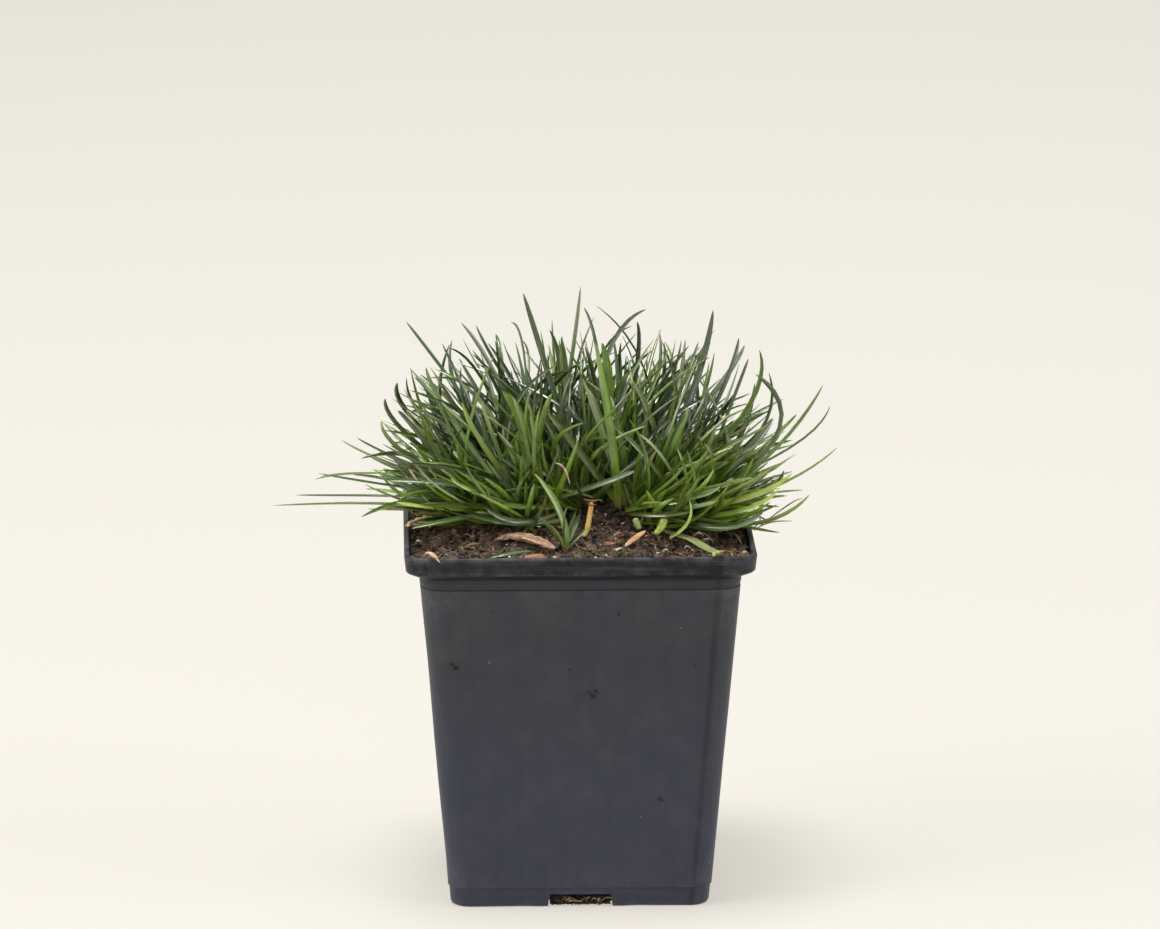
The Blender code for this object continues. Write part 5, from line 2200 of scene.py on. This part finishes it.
    def add_crown(self, rosette: Rosette, skin: Skin) -> None:
        """Adds the crown itself: a knob of old leaf bases.

        Args:
            rosette: the crown.
            skin: what it is added to.
        """
        points, faces = FINE_BALL
        dice = random.Random(rosette.name)
        size = np.array(rosette.radii) * (0.3 if rosette.name == "sprig" else 0.7)
        rough = np.array([dice.uniform(0.9, 1.08) for _ in range(len(points))])
        shape = points * rough[:, None] * size + np.array(rosette.centre) - np.array((0.0, 0.0, 1.5 * MM))
        skin.shape(shape, faces, screen(46, 38, 24), dice.random())

    def build(self) -> None:
        """Grows the tuft and makes one piece for each rosette."""
        self.grow()
        finish = LeafFinish("thrift_leaf").material()
        for rosette in self.rosettes:
            skin = Skin()
            self.add_crown(rosette, skin)
            for blade in self.blades[rosette.name]:
                blade.add_to(skin)
            piece = skin.piece(f"tuft_{rosette.name}", finish, angle=70)
            dress(piece, self.nodes[rosette.name])
        LOG.info("the tuft has %d leaves", sum(len(blades) for blades in self.blades.values()))


# Things on the soil


@dataclass(frozen=True)
class Spot:
    """A point of something on the soil: x and y in mm, its share of full size, and its lift in mm."""

    x: float
    y: float
    share: float
    lift: float = 0.0


@dataclass
class Litter:
    """The husk, stalk, chips, splinter, root, cut leaves, nugget and fallen leaf that lie on the soil."""

    soil: Soil
    clearance: float = 0.5 * MM
    stations: int = 26
    sides: int = 12
    nugget_place: tuple[float, float] = (-11.6 * MM, -41.7 * MM)
    nugget_size: tuple[float, float, float] = (6.2, 2.7, 2.3)
    nugget_lift: float = 1.9 * MM

    def rest(self, x: float, y: float, radius: float) -> float:
        """The height at which something of a radius rests around x, y.

        Args:
            x: the place from left to right.
            y: the place from front to back.
            radius: its half width.

        Returns:
            The height.
        """
        level = 0.0
        pot = self.soil.pot
        for dx, dy in ((0, 0), (1, 0), (-1, 0), (0, 1), (0, -1)):
            level = max(level, self.soil.level(x + dx * radius, y + dy * radius))
        if max(abs(x), abs(y)) + radius > pot.rim_half - pot.rim_wall:
            level = max(level, pot.height)
        return level + self.clearance

    def strip(
        self, name: str, spots: Sequence[Spot], width: float, thickness: float, finish: Material,
        slot: str, tint: Colour = PLAIN, hollow: float = 0.0, ragged: float = 0.08,
        end_tint: Optional[Colour] = None, packed: bool = True,
    ) -> None:
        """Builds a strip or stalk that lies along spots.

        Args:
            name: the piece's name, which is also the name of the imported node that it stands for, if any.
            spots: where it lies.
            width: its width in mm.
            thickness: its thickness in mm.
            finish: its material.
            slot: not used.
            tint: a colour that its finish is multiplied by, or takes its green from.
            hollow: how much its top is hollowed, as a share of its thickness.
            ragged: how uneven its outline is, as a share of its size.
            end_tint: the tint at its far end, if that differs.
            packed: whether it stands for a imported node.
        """
        places = []
        for spot in spots:
            x, y = spot.x * MM, spot.y * MM
            ground = self.rest(x, y, width / 2 * spot.share * MM)
            places.append(Vector((x, y, ground + (thickness / 2 * spot.share + spot.lift) * MM)))
        skin = Skin()
        rings = []
        seed = random.Random(name).random()
        for t, place, side, up in framed_path(places, self.stations):
            spot_at = t * (len(spots) - 1)
            before = min(int(spot_at), len(spots) - 2)
            share = spots[before].share + (spots[before + 1].share - spots[before].share) * (spot_at - before)
            share *= min(1.0, 0.4 + 6 * min(t, 1 - t))
            ring = []
            across = []
            for step in range(self.sides):
                angle = 2 * math.pi * step / self.sides
                spot = Vector((3 * math.cos(angle), 3 * math.sin(angle), 14 * t + 9 * seed))
                uneven = 1 + ragged * noise.noise(spot)
                rise = math.sin(angle)
                if rise > 0:
                    rise *= 1 - 2 * hollow * (1 - math.cos(angle) ** 2)
                offset = side * (math.cos(angle) * width / 2) + up * (rise * thickness / 2)
                ring.append(place + offset * (share * uneven * MM))
                across.append(math.cos(angle))
            shade = blended(tint, end_tint or tint, t)
            rings.append(skin.add(ring, shade, along=t, across=across, seed=seed))
        skin.tube(rings)
        dress(skin.piece(f"fine_{name}", finish), [name] if packed else [])

    def nugget(self, finish: Material) -> None:
        """Builds the small reddish brown lump by the front wall.

        Args:
            finish: its material.
        """
        dice = random.Random(5)
        points, faces = FINE_BALL
        size = np.array(self.nugget_size) * 0.5 * MM
        rough = np.array([1 + 0.25 * noise.noise(Vector(point) * 1.7) for point in points])
        turn = np.array(Matrix.Rotation(0.1, 3, "Z"))
        x, y = self.nugget_place
        centre = np.array((x, y, self.rest(x, y, MM) + self.nugget_lift))
        skin = Skin()
        skin.shape((points * rough[:, None] * size) @ turn.T + centre, faces, PLAIN, dice.random())
        piece = skin.piece("fine_nugget", finish)
        modifier = piece.modifiers.new("rounder", "SUBSURF")
        modifier.levels = 1
        modifier.render_levels = 1
        dress(piece, ["nugget"])

    def build(self) -> None:
        """Builds everything that lies on the soil."""
        husk = DryFinish(
            "husk", screen(200, 160, 132), screen(86, 54, 40), (4.0, 0.8, 1.0), dirt=0.85, wear=0.6,
        ).material()
        root = DryFinish("root", screen(216, 182, 150), screen(140, 98, 72), dirt=0.3).material()
        straw = DryFinish("straw", screen(214, 176, 108), screen(156, 112, 60)).material()
        pale_straw = DryFinish("pale_straw", screen(222, 196, 152), screen(164, 128, 86)).material()
        chip = DryFinish("chip", screen(206, 158, 116), screen(138, 92, 62), dirt=0.3).material()
        bark = DryFinish("bark", screen(156, 108, 84), screen(92, 54, 40), dirt=0.5).material()
        green = LeafFinish("cut_green", base=screen(186, 190, 120), base_end=0.12, roughness=0.5).material()
        fallen = LeafFinish("fallen_leaf", base_end=0.05, roughness=0.52).material()
        self.strip("husk", (
            Spot(-21.8, -27.9, 0.4), Spot(-18, -28.4, 1, 0.2), Spot(-14.2, -31.8, 1, 0.6),
            Spot(-10.2, -35.2, 1, 0.5), Spot(-6.6, -37.1, 0.75, 0.2),
        ), 3.2, 2.2, husk, "husk", hollow=0.4, ragged=0.55)
        self.strip("straw_stalk", (
            Spot(1, -31.5, 0.8), Spot(2.1, -28, 1, 1.8), Spot(3.3, -24, 0.8, 6),
        ), 1.5, 1.2, straw, "straw", (0.66, 0.95, 0.4), end_tint=(1.1, 1.0, 0.9))
        self.strip("bark_chip", (
            Spot(11.4, -35, 0.5, 0.2), Spot(14, -31.8, 1, 0.9), Spot(16.8, -28.9, 0.6, 1.4),
        ), 2.0, 1.0, chip, "bark", ragged=0.5)
        self.strip("splinter", (
            Spot(-40.2, -41.3, 0.6, 1.7), Spot(-38.8, -43.4, 1, 0.6), Spot(-37.3, -45.2, 1, 0.1),
            Spot(-35.9, -46, 0.5, -1.2),
        ), 1.3, 0.6, pale_straw, "straw", ragged=0.5)
        self.strip("shredded_root", (
            Spot(-44.5, -12, 0.35, 0.3), Spot(-42, -11.4, 0.8, 2.8), Spot(-38.5, -11.6, 1, 1.9),
            Spot(-34.6, -12.4, 0.7, 1),
        ), 3.2, 2.5, root, "husk", ragged=0.9)
        olive = screen(124, 132, 80)
        self.strip("cut_leaf", (
            Spot(21.8, -22.5, 0.7), Spot(25, -25, 1, 0.5), Spot(28.5, -31, 1, 2.4), Spot(31.8, -38, 1, 2.3),
            Spot(34.8, -44.5, 1),
        ), 2.8, 1.0, green, "cut_green", olive, hollow=0.4)
        self.strip("cut_stub", (
            Spot(14.2, -25.4, 1, 2.2), Spot(14.8, -25.9, 1, 1.1), Spot(15.4, -26.3, 0.8),
        ), 2.0, 1.6, green, "cut_green", screen(128, 138, 66))
        self.strip("second_stub", (
            Spot(21.9, -25.2, 1.05, 3.7), Spot(20.8, -26.6, 1, 1.4), Spot(19.2, -28, 0.7),
        ), 2.3, 1.8, green, "cut_green", screen(150, 168, 62), packed=False)
        self.strip("rim_leaf", (
            Spot(-23.3, -42.3, 0.4, 1.4), Spot(-19.6, -41, 1, 2.1), Spot(-15.8, -39, 1, 2.1),
            Spot(-12.4, -37.2, 0.6, 1.2),
        ), 2.0, 0.8, fallen, "fallen_leaf", screen(64, 90, 44))
        self.nugget(bark)


SHREDS = """
PINK|-6.2 -29.4 116.5|-4.6 -29.6 115.8|-3.4 -29.4 113.8|-2.6 -29 111|0.27
RUST|1 -28 106.6|3.2 -28.4 106.2|5 -28 106.5|0.3
RUST|1.8 -27.6 105.6|3 -28.2 105|4.4 -27.8 105.2|0.26
PINK|-43.6 -27.2 114.6|-42.8 -27 113.4|-41.6 -26.8 111.6|0.3
WIRY|46 -16 96|51 -14 99.4|55.5 -12 102|58 -10 102.5|0.2
WIRY|45 -18 95.8|47.6 -18 97.4|51 -17 98|55 -15 97.6|0.2
WIRY|44.6 -14 98|47.4 -13 100.4|47 -13 103|50.4 -11 105.8|0.18
WIRY|43.8 -20 96.4|46.4 -21 98.6|46 -20 101|44 -18 102|0.18
PINK|29 -22 95|30.6 -22.6 96.4|32 -21.6 95.4|0.35
PINK|31 -24 94.6|32.6 -24.6 95.2|33.4 -23 94.6|0.3
WHITISH|31.5 -20 96|33 -22 95.5|34.4 -24.4 94.2|0.14
WHITISH|40 -22 96|41 -24 95|41.6 -25 93.8|0.14
WHITISH|21 -33.4 93.8|21.8 -33.8 94.6|22.6 -33.4 93.8|0.35
WHITISH|26.6 -30.2 94|27.4 -30.6 94.7|28.4 -30.4 94|0.35
WHITISH|-42 -19 93.2|-41.2 -19.6 94|-40.2 -19.4 93.4|0.4
CUT_GREEN|33.6 -43 96.1|34.9 -44.3 96.3|36 -44.8 96.8|0.5
CUT_GREEN|33.4 -43.4 96|33.7 -44.8 95.9|33.4 -45.6 95.5|0.5
"""


@dataclass(frozen=True)
class Scrap:
    """A small lump that lies on the soil: where, its size in mm and its colour."""

    x: float
    y: float
    size: float
    colour: Colour


SCRAPS = (
    Scrap(25.2, -38.6, 2.5, screen(150, 122, 94)),
    Scrap(28.8, -38.4, 2.8, screen(112, 62, 46)),
    Scrap(24.6, -36.6, 1.6, screen(126, 92, 70)),
    Scrap(-8.4, -40.6, 1.5, screen(150, 92, 70)),
    Scrap(-15.4, -40.8, 1.2, screen(166, 118, 90)),
    Scrap(3.6, -39.6, 1.0, screen(196, 186, 164)),
    Scrap(-31.4, -37.6, 1.6, screen(104, 80, 60)),
    Scrap(-36.2, -30.4, 1.8, screen(96, 76, 58)),
)


@dataclass
class Leavings:
    """Dry threads and small lumps that stand for no solid."""

    soil: Soil
    clump_place: Vector = field(default_factory=lambda: Vector((-28.3, -23.0)) * MM)
    clump_threads: int = 26

    def build(self) -> None:
        """Builds them all as one piece."""
        dice = random.Random(61)
        skin = Skin()
        for line in SHREDS.strip().splitlines():
            colour, spots, radius, _ = read_row(line)
            add_thread(skin, spots, radius, DryTone[colour].colour, dice.random(), stations=14)
        for scrap in SCRAPS:
            x, y, size = scrap.x * MM, scrap.y * MM, scrap.size * MM
            place = Vector((x, y, self.soil.level(x, y) + size * 0.45))
            add_lump(skin, place, size, scrap.colour, dice, fine=True)
        for _ in range(self.clump_threads):
            x = self.clump_place.x + dice.gauss(0, 1.3) * MM
            y = self.clump_place.y + dice.gauss(0, 4.5) * MM
            turn = dice.uniform(0, 2 * math.pi)
            along = Vector((math.cos(turn), math.sin(turn))) * dice.uniform(1.0, 2.6) * MM
            spots = []
            for share in (-1, 0, 1):
                spot = Vector((x, y)) + along * share
                rise = (1.6 if share == 0 else 0.5) * dice.uniform(0.4, 1.0) * MM
                spots.append(Vector((spot.x, spot.y, self.soil.surface(spot.x, spot.y) + rise)))
            tan = blended(screen(156, 136, 106), screen(98, 76, 54), dice.random())
            add_thread(skin, spots, dice.uniform(0.12, 0.26) * MM, tan, dice.random())
        finish = DryFinish("leavings", PLAIN, (0.55, 0.5, 0.45), dirt=0.2, wear=0.0)
        dress(skin.piece("leavings", finish.material()))


# Studio


WARM: Colour = (1.0, 0.99, 0.97)
COOL: Colour = (0.98, 0.98, 1.0)


@dataclass(frozen=True)
class Studio:
    """Plain pale floor, soft light and the camera."""

    paper: Colour = screen(242, 237, 225)
    distance: float = 2.0
    elevation: float = 12.5
    azimuth: float = -1.5
    aim: Vector = field(default_factory=lambda: Vector((0.0008, 0.0, 0.1095)))
    lens: float = 239.6
    world_strength: float = 0.36
    sky: Colour = (0.97, 0.985, 1.0)
    floor_reach: float = 8.0
    floor_colour: Colour = (0.2, 0.196, 0.186)
    floor_glow: float = 0.595

    def build_floor(self) -> None:
        """Builds the floor, which glows a little so that its shadows stay faint."""
        mesh = bpy.data.meshes.new("floor")
        reach = self.floor_reach
        corners = [(-reach, -reach, 0), (reach, -reach, 0), (reach, reach, 0), (-reach, reach, 0)]
        mesh.from_pydata(corners, [], [(0, 1, 2, 3)])
        material, wiring, shader = new_material("floor_paper")
        grain = grained(wiring, wiring.place(), 300.0)[0]
        colour = lit(wiring, self.floor_colour, grain, 0.3, 0.7, 0.995, 1.0)
        wiring.give(shader, Base_Color=colour, Roughness=1.0, Specular_IOR_Level=0.0)
        wiring.give(shader, Emission_Color=self.paper, Emission_Strength=self.floor_glow)
        mesh.materials.append(material)
        linked("floor", mesh)

    def build_world(self) -> None:
        """Sets the even light from all round, which the camera sees as the paper's colour."""
        world = bpy.data.worlds.new("studio")
        world.use_nodes = True
        wiring = Wiring(world.node_tree)
        seen = wiring.add("ShaderNodeBackground", self.paper).outputs[0]
        around = wiring.add("ShaderNodeBackground", self.sky, self.world_strength).outputs[0]
        to_camera = wiring.add("ShaderNodeLightPath").outputs["Is Camera Ray"]
        choose = wiring.add("ShaderNodeMixShader", to_camera, around, seen)
        wiring.feed(world.node_tree.nodes["World Output"].inputs[0], choose.outputs[0])
        bpy.context.scene.world = world

    def add_lamp(self, name: str, place: Vector, size: float, power: float, colour: Colour) -> None:
        """Adds a soft square lamp that shines on the plant.

        Args:
            name: its name.
            place: where it is.
            size: its side.
            power: its power in watts.
            colour: its colour.
        """
        light = bpy.data.lights.new(name, "AREA")
        light.shape = "SQUARE"
        light.size = size
        light.energy = power
        light.color = colour
        lamp = linked(name, light)
        lamp.location = place
        lamp.rotation_euler = (self.aim - place).to_track_quat("-Z", "Y").to_euler()

    def build_camera(self) -> None:
        """Places the camera at the photograph's angle."""
        turn, rise = math.radians(self.azimuth), math.radians(self.elevation)
        back = Vector((math.sin(turn) * math.cos(rise), -math.cos(turn) * math.cos(rise), math.sin(rise)))
        data = bpy.data.cameras.new("camera")
        data.lens = self.lens
        data.sensor_width = 36.0
        data.clip_start = 0.01
        camera = linked("camera", data)
        camera.location = self.aim + back * self.distance
        camera.rotation_euler = (-back).to_track_quat("-Z", "Y").to_euler()
        bpy.context.scene.camera = camera

    def build(self) -> None:
        """Builds the whole studio."""
        self.build_floor()
        self.build_world()
        self.add_lamp("left", Vector((-1.5, -0.55, 1.0)), 1.1, 25.0, WARM)
        self.add_lamp("right", Vector((1.5, -0.5, 0.8)), 1.1, 15.0, COOL)
        self.add_lamp("above", Vector((-0.15, -0.12, 1.9)), 0.7, 39.0, WARM)
        self.add_lamp("front", Vector((-0.2, -1.9, 0.75)), 1.0, 5.0, WARM)
        self.add_lamp("back", Vector((0.2, 1.5, 1.4)), 1.0, 14.0, PLAIN)
        self.build_camera()
        bpy.context.scene.view_settings.view_transform = "Standard"


def main() -> None:
    """Builds the studio, the pot, the soil, the tuft and the litter."""
    logging.basicConfig(level=logging.INFO, format="%(message)s")
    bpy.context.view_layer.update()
    Studio().build()
    pot = NurseryPot()
    pot.build()
    pot.build_roots()
    soil = Soil(pot)
    pot.build_specks(soil.dark)
    soil.build_bed()
    soil.build_crumbs()
    soil.build_fibres()
    Tuft(soil).build()
    Litter(soil).build()
    Leavings(soil).build()


if __name__ == "__main__":
    main()
